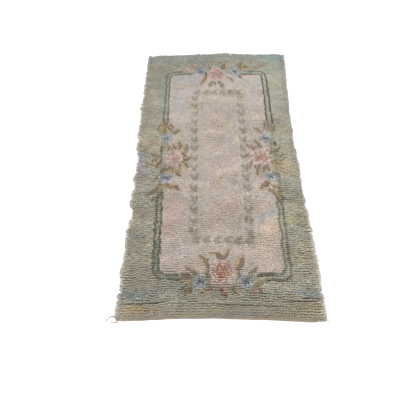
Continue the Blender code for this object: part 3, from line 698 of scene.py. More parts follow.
def make_strands():
    """Root, bend and tip of every yarn end, with its colour and its painted shade, in rug coordinates."""
    rng = np.random.default_rng(20)
    strip = END_STRIP / (2 * HALF_LENGTH)
    rows = int(round((2 * HALF_LENGTH - FAR_INSET - END_STRIP) / ROW_STEP))
    knots = int(round((2 * HALF_WIDTH - 2 * SIDE_INSET) / KNOT_STEP))
    across = np.linspace(0.0100, 0.9900, knots)
    side_low = np.array((0.0005, 0.0012, 0.0020, 0.0032, 0.0050, 0.0072))
    side_high = 1 - side_low[::-1]
    # every row has a front and a back line, half a knot apart
    line_s, line_row, line_back = [], [], []
    for row in range(rows):
        for back in (0, 1):
            s = across + (0.25 if back else -0.25) / knots + rng.uniform(-0.2, 0.2, knots) / knots
            s = np.concatenate([side_low, s, side_high])
            line_s.append(s)
            line_row.append(np.full(len(s), float(row)))
            line_back.append(np.full(len(s), float(back)))
    ss = np.clip(np.concatenate(line_s), 0.0004, 0.9996)
    row, back = np.concatenate(line_row), np.concatenate(line_back)
    n = len(ss)
    tt = strip + (row + 0.30) / rows * (1 - strip - 0.001) + (back - 0.5) * ROW_PAIR / (2 * HALF_LENGTH)
    tt = np.clip(tt, strip * 0.6, 0.999)
    x, y = ground_place(ss, tt)
    y = y + rng.uniform(-0.0004, 0.0004, n)
    middle = ease((y - near_edge(x) - 0.020) / 0.050) * ease((HALF_LENGTH - 0.020 - y) / 0.050)
    # the rows run straight where the frame's end lines follow them
    for level in (-0.592, 0.600):
        middle = middle * (1 - 0.75 * np.exp(-((y - level) / 0.040) ** 2))
    y = y + middle * (0.0075 * value_noise(x / 0.115, y / 0.080, 29) + 0.0042 * value_noise(x / 0.050, y / 0.060, 30))

    left_root, right_root = ground_place(np.zeros(n), tt)[0], ground_place(np.ones(n), tt)[0]
    left_in, right_in = x - left_root, right_root - x
    near_in = y - near_edge(x) - END_STRIP
    far_in = ground_place(ss, np.ones(n))[1] - y

    # how the tip stands against the root, first in the open middle of the rug
    lean = LEAN * (1.30 - 0.30 * ease(near_in / 0.050))
    lean = lean * (1.0 + 0.22 * value_noise(x / 0.090, y / 0.070, 31))
    # the light field is denser and calmer than the border round it
    inside = ease(-round_box(x - skew(y), y, 0.2580, -0.580, 0.6070, 0.036) / 0.012 + 0.5)
    calm = 1 - 0.5 * inside
    # the rows waver: here they close up, there a dark gap opens between two
    far_calm = ease((y + 0.15) / 0.50)
    near_calm = ease((0.072 - near_in) / 0.040)
    wave = ((0.0024 * value_noise(x / 0.062, row * 0.26, 33)
             + (0.0047 * value_noise(x / 0.021, row * 0.27, 34)
                + 0.0013 * value_noise(x / 0.011, row * 0.80, 42)) * (1 - 0.35 * inside)
             + 0.0024 * value_noise(x / 0.0064, row * 3.10, 56) * (1 - 0.32 * inside)
             * (1 - 0.45 * ease((-0.35 - y) / 0.20)))
            * (1 - 0.40 * far_calm) * (1 - 0.40 * near_calm))
    # and their yarn ends lie together in locks
    lock = (value_noise(x / 0.0150, row * 7.31, 36), value_noise(x / 0.0110, row * 5.17, 37),
            value_noise(x / 0.0080, row * 3.73, 38))
    knot_y = y + lean
    y = y + 0.5 * wave
    # short dashes of a row stand higher than their neighbours, and are painted lighter, a painted highlight on the
    # raised tips
    dash = value_noise(x / 0.019, row * 0.86, 48) + 0.5 * value_noise(x / 0.034, row * 0.47, 49)
    dx = (0.0024 * value_noise(x / 0.070, y / 0.060, 32) + 0.0018 * lock[0]
          + 0.0014 * value_noise(x / 0.030, row * 2.17, 39) + rng.normal(0, 0.00045, n))
    dy = lean + 0.5 * wave + 0.0008 * lock[1] + rng.normal(0, 0.00030, n) - (back - 0.5) * 0.0010
    dy = dy + rng.normal(0, 0.0011, n) * near_calm
    top = (PILE_TOP + 0.0008 * (np.sin(7.1 * x + 2.3 * y + 0.4) + np.sin(3.7 * x - 5.9 * y + 1.9)) / 2
           + calm * (0.0009 * lock[2] + 0.0006 * value_noise(x / 0.04, row * 1.3, 40)
                     + 0.0008 * dash + rng.normal(0, 0.0004, n)) - 0.0007 * (1 - back))
    part_dy, sink = parting_shift(x + dx, y + lean)
    dy = dy + part_dy
    top = top - sink

    # along the sides the pile falls outwards to the uneven outline, in teeth
    teeth = []
    for side_seed in (41, 43):
        side_rng = np.random.default_rng(side_seed)
        sizes = side_rng.choice((1, 2, 2, 3, 3, 4, 5), rows)
        ends = np.cumsum(sizes)
        group = np.searchsorted(ends, row + 0.5)
        start = ends[group] - sizes[group]
        # from -1 to 1 through the group of rows that makes one tooth
        within = 2 * (row + 0.5 * back + 0.25 - start) / sizes[group] - 1
        point = side_rng.uniform(-0.6, 0.6, rows)[group]
        size = side_rng.uniform(0.2, 1.5, rows)[group] * np.minimum(sizes[group], 3) / 2.4
        away = np.abs(within - point) / (1 + np.abs(point))
        teeth.append((within - point, sizes[group], size * (0.50 - 1.0 * away)
                      + side_rng.uniform(-0.5, 0.5, rows)[group]
                      + 0.2 * side_rng.uniform(-1, 1, rows)[row.astype(int)]))
    low = ease((-0.10 - y) / 0.50)
    ragged = (1.0 - 0.15 * ease((y - 0.10) / 0.40)) * (1 + 0.20 * rng.normal(0, 1, n))
    reach_l = (left_root - left_edge(y + 0.4 * LEAN)) + TOOTH_LEFT * teeth[0][2] * ragged + 0.0036 + 0.0022 * low
    reach_r = (right_edge(y + 0.4 * LEAN) - right_root) + TOOTH_RIGHT * teeth[1][2] * ragged + 0.0020 + 0.0050 * low
    fall_l = np.exp(-(np.maximum(left_in, 0) / 0.0150) ** 1.4)
    fall_r = np.exp(-(np.maximum(right_in, 0) / 0.0150) ** 1.4)
    fall = np.maximum(fall_l, fall_r)
    spread = 1.06 - 0.30 * rng.random(n) ** 1.6 + 0.30 * rng.random(n) ** 12
    dx = (dx * (1 - 0.6 * fall) - (reach_l + 0.7 * np.maximum(left_in, 0)) * fall_l * spread
          + (reach_r + 0.7 * np.maximum(right_in, 0)) * fall_r * spread)
    top = top * (1 - 0.58 * fall * (0.80 + 0.4 * rng.random(n)))
    # a tooth's rows come together towards its point
    gather_l = -0.07 * teeth[0][0] * teeth[0][1] * ROW_STEP
    gather_r = -0.05 * teeth[1][0] * teeth[1][1] * ROW_STEP
    dy = dy * (1 - 0.45 * fall) + rng.normal(0, 0.0026, n) * fall + gather_l * fall_l + gather_r * fall_r

    # at the far end it stands over the edge, fuller in the middle
    reach_f = far_edge(x) - y + 0.0004 * value_noise(x / 0.026, y * 0, 46) + 0.0072
    fall_f = np.exp(-(np.maximum(far_in - 0.007, 0) / 0.013) ** 1.3)
    dx = dx * (1 - 0.90 * fall_f * (1 - ease(fall / 0.4)))
    # (the last row ends evenly, the rows before it less so)
    short = 0.04 + 0.30 * ease((far_in - 0.004) / 0.006)
    dy = dy * (1 - fall_f) + fall_f * np.maximum(reach_f, 0.008) * (1 - short * rng.random(n))
    top = top + fall_f * (PILE_TOP - top) * 0.75
    top = top + fall_f * (0.0012 - (0.0012 + 0.008 * short) * rng.random(n) + 0.0002 * value_noise(x / 0.012, y * 0, 47))
    # at the near end the first rows stand nearly upright over the strip
    fall_n = np.exp(-(np.maximum(near_in, 0) / 0.014) ** 1.2)
    dy = dy * (1 - fall_n) + fall_n * (-0.0056 + 0.0074 * back + 0.0024 * value_noise(x / 0.045, y * 0, 45)
                                      + rng.uniform(-0.0024, 0.0024, n))
    top = top * (1 - 0.24 * fall_n)

    nominal_x = x + np.where(fall_l > fall_r, -reach_l * fall_l, reach_r * fall_r) * 0.6
    stray = (0.0030 + 0.0016 * ease(-y / 0.3)) * value_noise(x / 0.0150, row * 7.31, 36) + rng.normal(0, 0.0008, n)
    colour = design(nominal_x + stray, knot_y + 0.0012 * lock[1])
    # the ends that fall over the sides are painted greyer and a little lilac, partly a painted shade where the pile
    # falls over the edge
    rim = np.exp(-(np.minimum(left_in, right_in).clip(0) / 0.006) ** 2)
    colour = over(colour, linear(160, 150, 152), 0.42 * rim)
    # painted shade: the ends along the far edge are painted darker and a bluish grey
    far_rim_shade = np.exp(-(far_in.clip(0) / 0.028) ** 2)
    colour = over(colour, linear(142, 148, 145), 0.40 * far_rim_shade) * (1 - 0.37 * far_rim_shade)[:, None]
    # a grey-lilac band along the right side, partly painted shade as at both sides
    right_rim_tint_and_shade = np.exp(-(right_in.clip(0) / 0.011) ** 2) * ease((y + 0.45) / 0.50)
    colour = over(colour, linear(156, 157, 164), 0.60 * right_rim_tint_and_shade)
    # painted shade: the border's yarn ends are painted darker below their tips than the field's, for the shade in the
    # gaps between the rows
    gap_shade = 0.5 + 0.5 * value_noise(x / 0.070, row * 0.28, 50)
    depth_shade = (0.26 + 0.31 * gap_shade + 0.06 * ease((x - 0.22) / 0.08) * ease((-0.25 - y) / 0.15)
            - 0.05 * ease((-0.22 - x) / 0.08)) * (1 - inside)
    depth_shade = depth_shade + (0.15 * gap_shade - 0.25) * inside * ease((0.55 - y) / 0.9)
    # a band of more painted shade across the rows near the near end
    depth_shade = depth_shade + 0.11 * np.exp(-((y + 0.670) / 0.035) ** 2)
    # the pile of the darker flowers and leaves gets more of this painted shade
    light = colour @ np.array((0.2126, 0.7152, 0.0722))
    motif_shade = ease((0.50 - light) / 0.22) * inside * ease((0.45 - y) / 0.5)
    depth_shade = depth_shade + (0.40 - 0.16 * ease((x - 0.10) / 0.10)) * motif_shade
    # painted shade in flecks along the frame's dark lines
    lined = ease((0.20 - light) / 0.06) * ease((np.abs(x) - 0.16) / 0.02 + ease((-0.54 - y) / 0.02)) * ease((0.30 - y) / 0.2)
    fleck = np.clip(2.6 * value_noise(x / 0.0052, row * 3.70, 59), -1, 1)
    depth_shade = depth_shade + 0.40 * lined * (0.6 - 0.4 * fleck)
    # less painted shade round the bottom rose
    for cx, cy, size in ((ROSES[1][0], ROSES[1][1] - 0.010, 0.060),):
        depth_shade = depth_shade * (1 - 0.20 * ease((1.15 - np.hypot(x - cx, y - cy) / size) / 0.30))
    # less painted shade at the near end, along the sides and towards the far end
    depth_shade = depth_shade - 0.7 * depth_shade * np.exp(-(np.maximum(near_in, 0) / 0.012) ** 2)
    depth_shade = depth_shade * (1 - 0.76 * near_calm) * (1 - 0.35 * ease((-0.12 - x) / 0.10) * ease((-0.665 - y) / 0.025))
    depth_shade = depth_shade * (1 - 0.35 * fall) * (1 - 0.62 * far_calm)
    # painted shadow: in the lines where the pile is parted, the yarn ends are painted darker
    parting_shadow = np.clip((sink - 0.0010) / 0.0024, 0, 1)
    depth_shade = depth_shade + (0.84 - depth_shade) * parting_shadow
    # each yarn end is a little lighter or darker, and each lock too; the raised dashes get a painted highlight
    tone = (1.0 + ((0.032 * rng.normal(0, 1, n) + (0.055 * lock[0] + 0.035 * lock[1]) * (1 - 0.50 * ease((-0.35 - y) / 0.2)))
                   * (1 - 0.50 * inside) * (1 - 0.30 * far_calm))
            + (0.105 - 0.075 * inside) * (1 - 0.5 * far_calm) * dash
            + 0.05 * value_noise(x / 0.20, row * 0.5, 51)
            + 0.03 * value_noise(x / 0.03, y / 0.03, 52))
    strokes = [(PALE_ROSES[0][0], PALE_ROSES[0][1], 0.052, 0.22), (PALE_ROSES[1][0], PALE_ROSES[1][1], 0.058, 0.38),
               (ROSES[0][0], ROSES[0][1], 0.050, 0.14), (ROSES[1][0], ROSES[1][1], 0.050, 0.36)]
    strokes += [(BLUES[i][0], BLUES[i][1], 0.036, 0.28) for i in (4, 5, 7)]
    for cx, cy, size, amount in strokes:
        there = ease((1.15 - np.hypot(x - cx, (knot_y - cy) / 1.15) / size) / 0.30)
        tone = tone + there * (amount * value_noise(x / 0.0062, row * 4.30, 57) - 0.03 * (size > 0.05))
    tone = tone + lined * (0.10 + 0.42 * fleck)
    tone = 1 + (tone - 1) * (1 - 0.7 * far_rim_shade)
    # painted shadow in the partings
    tone = tone * (1 - 0.24 * parting_shadow)
    hue = rng.normal(0, 1, (n, 3)) * 0.012 * (1 - 0.4 * inside)[:, None]
    lot = np.stack([value_noise(x / 0.014, y / 0.010, 53 + i) for i in range(3)], 1) * 0.035
    colour = np.clip(colour * np.clip(tone, 0.45, 1.5)[:, None] * (1 + hue + lot), 0.01, 0.95)

    root = np.stack([x, y, np.full(n, GROUND_HIGH - 0.0006)], 1)
    tip = np.stack([x + dx, y + dy, np.maximum(top, 0.0030)], 1)
    radius = YARN_RADIUS * (1.0 + 0.12 * rng.normal(0, 1, n)).clip(0.7, 1.4) * (1 + 0.62 * fall_f)
    spin = rng.uniform(0, 2 * math.pi, n)
    return root, tip, colour, depth_shade, radius, spin, tt


# ------------------------------------------------------------ mesh making ---
def mesh_from_arrays(name, verts, loops, starts, totals, smooth=True):
    me = bpy.data.meshes.new(name)
    me.vertices.add(len(verts))
    me.vertices.foreach_set("co", np.ascontiguousarray(verts, np.float32).ravel())
    me.loops.add(len(loops))
    me.loops.foreach_set("vertex_index", np.ascontiguousarray(loops, np.int32))
    me.polygons.add(len(starts))
    me.polygons.foreach_set("loop_start", np.ascontiguousarray(starts, np.int32))
    try:
        me.polygons.foreach_set("loop_total", np.ascontiguousarray(totals, np.int32))
    except (AttributeError, RuntimeError, TypeError):
        pass
    me.polygons.foreach_set("use_smooth", np.full(len(starts), smooth))
    me.update(calc_edges=True)
    me.validate()
    return me


def add_object(name, mesh, mat):
    ob = bpy.data.objects.new(name, mesh)
    bpy.context.scene.collection.objects.link(ob)
    mesh.materials.append(mat)
    return ob


def strand_mesh(name, root, tip, colour, depth_shade, radius, spin):
    """Three-sided tapering yarn ends: three rings and a point each."""
    n = len(root)
    steps = np.array([0.0, 0.56, 0.88, 1.0])
    across = steps ** 1.7
    upward = 1 - (1 - steps) ** 1.25
    widths = np.array([0.92, 1.06, 0.90, 0.0])
    span = tip - root
    centre = root[:, None, :] + np.stack(
        [span[:, 0:1] * across, span[:, 1:2] * across, span[:, 2:3] * upward], 2)
    # a frame square to each ring's own direction
    way = np.empty_like(centre)
    way[:, 0] = centre[:, 1] - centre[:, 0]
    way[:, 1:3] = centre[:, 2:4] - centre[:, 0:2]
    way[:, 3] = centre[:, 3] - centre[:, 2]
    way /= np.linalg.norm(way, axis=2, keepdims=True) + 1e-12
    side = np.stack([np.cos(spin), np.sin(spin), np.zeros(n)], 1)[:, None, :]
    side = side - way * (side * way).sum(2, keepdims=True)
    side /= np.linalg.norm(side, axis=2, keepdims=True) + 1e-12
    other = np.cross(way, side)
    verts = np.empty((n, 10, 3))
    for ring in range(3):
        for k in range(3):
            a = 2 * math.pi * k / 3
            verts[:, ring * 3 + k] = (centre[:, ring]
                                      + (math.cos(a) * side[:, ring] + math.sin(a) * other[:, ring])
                                      * (radius * widths[ring])[:, None])
    verts[:, 9] = centre[:, 3]
    verts[:, :, 2] = np.maximum(verts[:, :, 2], GROUND_LOW)
    verts[:, :, 0] += SHIFT[0]
    verts[:, :, 1] += SHIFT[1]
    quads, uv_rows = [], []
    vs = (0.0, 0.52, 0.86, 1.0)
    for ring in range(2):
        for k in range(3):
            m = (k + 1) % 3
            quads.append((ring * 3 + k, ring * 3 + m, ring * 3 + 3 + m, ring * 3 + 3 + k))
            uv_rows += [(k / 3, vs[ring]), ((k + 1) / 3, vs[ring]),
                        ((k + 1) / 3, vs[ring + 1]), (k / 3, vs[ring + 1])]
    tris = []
    for k in range(3):
        tris.append((6 + k, 6 + (k + 1) % 3, 9))
        uv_rows += [(k / 3, vs[2]), ((k + 1) / 3, vs[2]), ((k + 0.5) / 3, vs[3])]
    pattern = np.array([i for q in quads for i in q] + [i for t in tris for i in t])
    sizes = np.array([4] * 6 + [3] * 3)
    loops = (pattern[None, :] + 10 * np.arange(n)[:, None]).ravel()
    totals = np.tile(sizes, n)
    starts = np.concatenate([[0], np.cumsum(totals)[:-1]])
    me = mesh_from_arrays(name, verts.reshape(-1, 3), loops, starts, totals)
    # painted shade: each yarn end's colour is darkened towards its root by its depth shade, or lightened where that
    # is below 0; the 'yarn' colour then holds colour and painted shade together
    tint = np.ones((n, 10, 4), np.float32)
    shade = 1 - depth_shade[:, None] * np.repeat(np.array([1.0, 0.84, -0.06, -0.18]), [3, 3, 3, 1])[None, :]
    tint[:, :, :3] = np.clip(colour[:, None, :] * shade[:, :, None], 0.004, 0.97)
    layer = me.color_attributes.new("yarn", "FLOAT_COLOR", "POINT")
    layer.data.foreach_set("color", tint.ravel())
    along = np.tile(np.repeat(steps, [3, 3, 3, 1]).astype(np.float32), n)
    attr = me.attributes.new("along", "FLOAT", "POINT")
    attr.data.foreach_set("value", along)
    # one cell of the map for each yarn end
    cells = int(math.ceil(math.sqrt(n)))
    uv_rows = np.array(uv_rows)
    cell_x, cell_y = np.arange(n) % cells, np.arange(n) // cells
    margin = 0.10
    u = (cell_x[:, None] + margin + (1 - 2 * margin) * uv_rows[None, :, 0]) / cells
    v = (cell_y[:, None] + margin + (1 - 2 * margin) * uv_rows[None, :, 1]) / cells
    uv = me.uv_layers.new(name="OFBake")
    uv.data.foreach_set("uv", np.stack([u, v], 2).astype(np.float32).ravel())
    return me


# -------------------------------------------------------------- materials ---
def new_material(name):
    mat = bpy.data.materials.new(name)
    mat.use_nodes = True
    tree = mat.node_tree
    return mat, tree, tree.nodes["Principled BSDF"]


def node(tree, kind, **values):
    made = tree.nodes.new(kind)
    for key, value in values.items():
        setattr(made, key, value)
    return made


def set_input(made, **values):
    for key, value in values.items():
        made.inputs[key.replace("_", " ")].default_value = value
    return made


def mix_colour(tree, kind, factor, a, b):
    mix = node(tree, "ShaderNodeMix", data_type="RGBA", blend_type=kind)
    for socket, value in ((mix.inputs[0], factor), (mix.inputs[6], a), (mix.inputs[7], b)):
        if isinstance(value, bpy.types.NodeSocket):
            tree.links.new(value, socket)
        else:
            socket.default_value = value
    return mix.outputs[2]


def map_range(tree, value, a, b, c, d):
    made = node(tree, "ShaderNodeMapRange")
    tree.links.new(value, made.inputs["Value"])
    for key, number in (("From Min", a), ("From Max", b), ("To Min", c), ("To Max", d)):
        made.inputs[key].default_value = number
    return made.outputs["Result"]


def grey(tree, value):
    made = node(tree, "ShaderNodeCombineColor")
    for i in range(3):
        tree.links.new(value, made.inputs[i])
    return made.outputs[0]


def wool_pile_material():
    mat, tree, shader = new_material("wool_pile")
    yarn = node(tree, "ShaderNodeAttribute", attribute_name="yarn")
    along = node(tree, "ShaderNodeAttribute", attribute_name="along")
    place = node(tree, "ShaderNodeTexCoord")
    fibre = set_input(node(tree, "ShaderNodeTexNoise"), Scale=900.0, Detail=3.0, Roughness=0.6)
    tree.links.new(place.outputs["Object"], fibre.inputs["Vector"])
    dust = set_input(node(tree, "ShaderNodeTexNoise"), Scale=38.0, Detail=4.0, Roughness=0.6)
    tree.links.new(place.outputs["Object"], dust.inputs["Vector"])
    # painted shade: the yarn's colour is darkened towards the root, for the shade deep in the pile
    root = map_range(tree, along.outputs["Fac"], 0.15, 0.85, 0.38, 1.03)
    hair = map_range(tree, fibre.outputs["Fac"], 0.25, 0.75, 0.86, 1.12)
    soil = map_range(tree, dust.outputs["Fac"], 0.30, 0.70, 0.93, 1.05)
    colour = mix_colour(tree, "MULTIPLY", 1.0, yarn.outputs["Color"], grey(tree, root))
    colour = mix_colour(tree, "MULTIPLY", 1.0, colour, grey(tree, hair))
    colour = mix_colour(tree, "MULTIPLY", 1.0, colour, grey(tree, soil))
    tree.links.new(colour, shader.inputs["Base Color"])
    tree.links.new(map_range(tree, fibre.outputs["Fac"], 0.2, 0.8, 0.80, 0.97), shader.inputs["Roughness"])
    bump = set_input(node(tree, "ShaderNodeBump"), Strength=0.55, Distance=0.0004)
    tree.links.new(fibre.outputs["Fac"], bump.inputs["Height"])
    tree.links.new(bump.outputs["Normal"], shader.inputs["Normal"])
    shader.inputs["Sheen Weight"].default_value = 0.22
    shader.inputs["Sheen Roughness"].default_value = 0.55
    shader.inputs["Specular IOR Level"].default_value = 0.22
    return mat


def ground_material():
    mat, tree, shader = new_material("ground_weave")
    yarn = node(tree, "ShaderNodeAttribute", attribute_name="yarn")
    place = node(tree, "ShaderNodeTexCoord")
    warp = node(tree, "ShaderNodeTexWave", wave_type="BANDS", bands_direction="X")
    set_input(warp, Scale=1.0 / (KNOT_STEP * 3.18), Distortion=0.8, Detail=2.0)
    warp.inputs["Detail Scale"].default_value = 1.5
    weft = node(tree, "ShaderNodeTexWave", wave_type="BANDS", bands_direction="Y")
    set_input(weft, Scale=1.0 / (ROW_STEP * 3.18), Distortion=0.8, Detail=2.0)
    weft.inputs["Detail Scale"].default_value = 1.5
    hair = set_input(node(tree, "ShaderNodeTexNoise"), Scale=1100.0, Detail=3.0)
    for tex in (warp, weft, hair):
        tree.links.new(place.outputs["Object"], tex.inputs["Vector"])
    knots = node(tree, "ShaderNodeMath", operation="MULTIPLY")
    tree.links.new(warp.outputs["Fac"], knots.inputs[0])
    tree.links.new(weft.outputs["Fac"], knots.inputs[1])
    rough_knots = node(tree, "ShaderNodeMath", operation="MULTIPLY_ADD")
    tree.links.new(hair.outputs["Fac"], rough_knots.inputs[0])
    rough_knots.inputs[1].default_value = 0.35
    tree.links.new(knots.outputs[0], rough_knots.inputs[2])
    shade = map_range(tree, rough_knots.outputs[0], 0.05, 0.95, 0.66, 1.10)
    colour = mix_colour(tree, "MULTIPLY", 1.0, yarn.outputs["Color"], grey(tree, shade))
    tree.links.new(colour, shader.inputs["Base Color"])
    tree.links.new(map_range(tree, hair.outputs["Fac"], 0.2, 0.8, 0.84, 0.98), shader.inputs["Roughness"])
    bump = set_input(node(tree, "ShaderNodeBump"), Strength=0.8, Distance=0.0009)
    tree.links.new(rough_knots.outputs[0], bump.inputs["Height"])
    tree.links.new(bump.outputs["Normal"], shader.inputs["Normal"])
    shader.inputs["Specular IOR Level"].default_value = 0.2
    return mat


def thread_material():
    mat, tree, shader = new_material("loose_thread_wool")
    yarn = node(tree, "ShaderNodeAttribute", attribute_name="yarn")
    place = node(tree, "ShaderNodeTexCoord")
    hair = set_input(node(tree, "ShaderNodeTexNoise"), Scale=1600.0, Detail=3.0)
    tree.links.new(place.outputs["Object"], hair.inputs["Vector"])
    shade = map_range(tree, hair.outputs["Fac"], 0.25, 0.75, 0.78, 1.12)
    colour = mix_colour(tree, "MULTIPLY", 1.0, yarn.outputs["Color"], grey(tree, shade))
    tree.links.new(colour, shader.inputs["Base Color"])
    tree.links.new(map_range(tree, hair.outputs["Fac"], 0.2, 0.8, 0.82, 0.96), shader.inputs["Roughness"])
    bump = set_input(node(tree, "ShaderNodeBump"), Strength=0.6, Distance=0.0003)
    tree.links.new(hair.outputs["Fac"], bump.inputs["Height"])
    tree.links.new(bump.outputs["Normal"], shader.inputs["Normal"])
    shader.inputs["Sheen Weight"].default_value = 0.15
    shader.inputs["Specular IOR Level"].default_value = 0.25
    return mat


# ----------------------------------------------------------------- pieces ---
def build_ground(mat):
    """The woven ground: knots show below, and a bare strip shows at the near end."""
    across, along = 84, 166
    s, t = np.meshgrid(np.linspace(0, 1, across + 1), np.linspace(0, 1, along + 1))
    s, t = s.ravel(), t.ravel()
    x, y = ground_place(s, t)
    low = np.stack([x + SHIFT[0], y + SHIFT[1], np.full(len(x), GROUND_LOW)], 1)
    grid = np.arange((along + 1) * (across + 1)).reshape(along + 1, across + 1)
    rim = np.concatenate([grid[0, :-1], grid[:-1, -1], grid[-1, ::-1][:-1], grid[::-1, 0][:-1]])
    high = low[rim].copy()
    high[:, 2] = GROUND_HIGH
    verts = np.concatenate([low, high])
    base = len(low)
    count = len(rim)
    faces_low = np.stack([grid[:-1, :-1], grid[1:, :-1], grid[1:, 1:], grid[:-1, 1:]], -1).reshape(-1, 4)
    ring = np.arange(count)
    nxt = (ring + 1) % count
    walls = np.stack([rim[ring], rim[nxt], base + nxt, base + ring], 1)
    loops = np.concatenate([faces_low.ravel(), walls.ravel(), base + ring])
    totals = np.concatenate([np.full(len(faces_low) + len(walls), 4), [count]])
    starts = np.concatenate([[0], np.cumsum(totals)[:-1]])
    me = mesh_from_arrays("ground_weave", verts, loops, starts, totals, smooth=False)
    colour = design(x, y + LEAN) * 0.92
    warp = 1 + 0.05 * np.random.default_rng(61).normal(0, 1, len(x))
    colour = colour * warp[:, None]
    strip = (y - near_edge(x)) < END_STRIP + 0.002
    colour = np.where(strip[:, None], WEB_TAN, colour)
    tint = np.ones((len(verts), 4), np.float32)
    tint[:base, :3] = colour
    tint[base:, :3] = WEB_TAN
    layer = me.color_attributes.new("yarn", "FLOAT_COLOR", "POINT")
    layer.data.foreach_set("color", tint.ravel())
    return add_object("ground_weave", me, mat)


def tube(points, radii, sides, closed_ends=True):
    """Rings round a path; returns vertices and faces."""
    n = len(points)
    way = np.gradient(points, axis=0)
    way /= np.linalg.norm(way, axis=1, keepdims=True) + 1e-12
    up = np.array([0.0, 0.0, 1.0])
    side = np.cross(way, up)
    bad = np.linalg.norm(side, axis=1) < 1e-4
    side[bad] = np.array([1.0, 0.0, 0.0])
    side /= np.linalg.norm(side, axis=1, keepdims=True)
    other = np.cross(side, way)
    a = 2 * math.pi * np.arange(sides) / sides
    verts = (points[:, None, :] + radii[:, None, None]
             * (np.cos(a)[None, :, None] * side[:, None, :] + np.sin(a)[None, :, None] * other[:, None, :]))
    verts = verts.reshape(-1, 3)
    faces = []
    for i in range(n - 1):
        for k in range(sides):
            m = (k + 1) % sides
            faces.append((i * sides + k, i * sides + m, (i + 1) * sides + m, (i + 1) * sides + k))
    if closed_ends:
        faces.append(tuple(range(sides))[::-1])
        faces.append(tuple((n - 1) * sides + k for k in range(sides)))
    return verts, faces


THREADS = (
    # name, root radius, tip radius, border point, way out, steps, colour
    ("corner_thread_a", 0.0023, 0.0012, (-0.3825, -0.7440), (-1.0, 0.0),
     ((-0.0060, +0.0030), (-0.0140, +0.0030), (-0.0215, -0.0020), (-0.0270, -0.0085),
      (-0.0335, -0.0165)), linear(118, 120, 104)),
    ("corner_thread_b", 0.0022, 0.0012, (-0.372, -0.7560), (0.0, -1.0),
     ((-0.0050, -0.0035), (-0.0120, -0.0045), (-0.0190, -0.0035), (-0.0235, +0.0015)),
     linear(134, 124, 98)),
    ("corner_thread_c", 0.0015, 0.0008, (+0.3825, -0.7510), (1.0, 0.0),
     ((+0.0050, -0.0020), (+0.0110, -0.0065)), linear(122, 118, 102)),
)


def shifted_border(x, y):
    """A border point of the nominal rug, moved to the uneven outline."""
    def share(d):
        return float(ease(np.array((0.110 - d) / 0.110)))
    left, right = share(x + HALF_WIDTH), share(HALF_WIDTH - x)
    near, far = share(y + HALF_LENGTH), share(HALF_LENGTH - y)
    dx = right * float(station(SIDE_STATIONS, y, 2)) - left * float(station(SIDE_STATIONS, y, 1))
    dy = far * float(station(END_STATIONS, x, 2)) - near * float(station(END_STATIONS, x, 1))
    return x + dx, y + dy


def build_thread(row, mat, seed):
    name, root_r, tip_r, border, way, steps, colour = row
    ex, ey = shifted_border(*border)
    clear = root_r + 0.0006
    start = np.array([ex + way[0] * clear, ey + way[1] * clear])
    # the thread comes out of the rug itself, just under the pile
    inner = start - np.array(way) * 0.012
    flat = np.array([inner, start] + [start + np.array(s) for s in steps])
    dist = np.concatenate([[0], np.cumsum(np.linalg.norm(np.diff(flat, axis=0), axis=1))])
    total = dist[-1]
    fine = np.linspace(0, total, 70)
    # a smooth line through the points
    path = np.stack([np.interp(fine, dist, flat[:, i]) for i in (0, 1)], 1)
    for _ in range(6):
        path[1:-1] = 0.25 * path[:-2] + 0.5 * path[1:-1] + 0.25 * path[2:]
    share = fine / total
    radius = root_r + (tip_r - root_r) * share
    lift = 0.0003 + radius
    middle = np.stack([path[:, 0], path[:, 1], lift], 1)
    tangent = np.gradient(middle, axis=0)
    tangent /= np.linalg.norm(tangent, axis=1, keepdims=True)
    side = np.cross(tangent, [0, 0, 1.0])
    side /= np.linalg.norm(side, axis=1, keepdims=True)
    up = np.cross(side, tangent)
    rng = np.random.default_rng(seed)
    verts, faces = [], []
    base = 0
    plies = 3
    loosen = ease((share - 0.72) / 0.28)
    for ply in range(plies):
        turn = 2 * math.pi * (ply / plies) + fine / 0.0065 * 2 * math.pi * (1 - 0.35 * loosen)
        out = radius * 0.52 * (1 + 0.9 * loosen)
        line = middle + (np.cos(turn) * out)[:, None] * side + (np.sin(turn) * out)[:, None] * up
        line[:, 2] = np.maximum(line[:, 2], radius * 0.50 + 0.0002)
        width = radius * 0.56 * (1 - 0.45 * loosen)
        v, f = tube(line, width, 6)
        verts.append(v)
        faces += [tuple(i + base for i in q) for q in f]
        base += len(v)
    # a few loose fibres stand off the end
    for _ in range(9):
        at = rng.integers(38, 68)
        away = rng.normal(0, 1, 3)
        away[2] = abs(away[2]) * 0.5
        away = away / np.linalg.norm(away)
        length = rng.uniform(0.0025, 0.0055)
        q = np.linspace(0, 1, 6)[:, None]
        line = middle[at] + q * length * (0.55 * tangent[at] + 0.6 * away) - q ** 2 * np.array([0, 0, 0.0012])
        line[:, 2] = np.maximum(line[:, 2], 0.0004)
        v, f = tube(line, np.linspace(0.00022, 0.00008, 6), 3)
        verts.append(v)
        faces += [tuple(i + base for i in q4) for q4 in f]
        base += len(v)
    verts = np.concatenate(verts)
    verts[:, 0] += SHIFT[0]
    verts[:, 1] += SHIFT[1]
    loops = np.array([i for f in faces for i in f])
    totals = np.array([len(f) for f in faces])
    starts = np.concatenate([[0], np.cumsum(totals)[:-1]])
    me = mesh_from_arrays(name + "_yarn", verts, loops, starts, totals)
    tint = np.ones((len(verts), 4), np.float32)
    tint[:, :3] = colour * (1 + 0.06 * rng.normal(0, 1, len(verts)))[:, None]
    layer = me.color_attributes.new("yarn", "FLOAT_COLOR", "POINT")
    layer.data.foreach_set("color", tint.ravel())
    ob = add_object(name + "_yarn", me, mat)
    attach(ob, "root")
    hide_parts(name)
    return ob


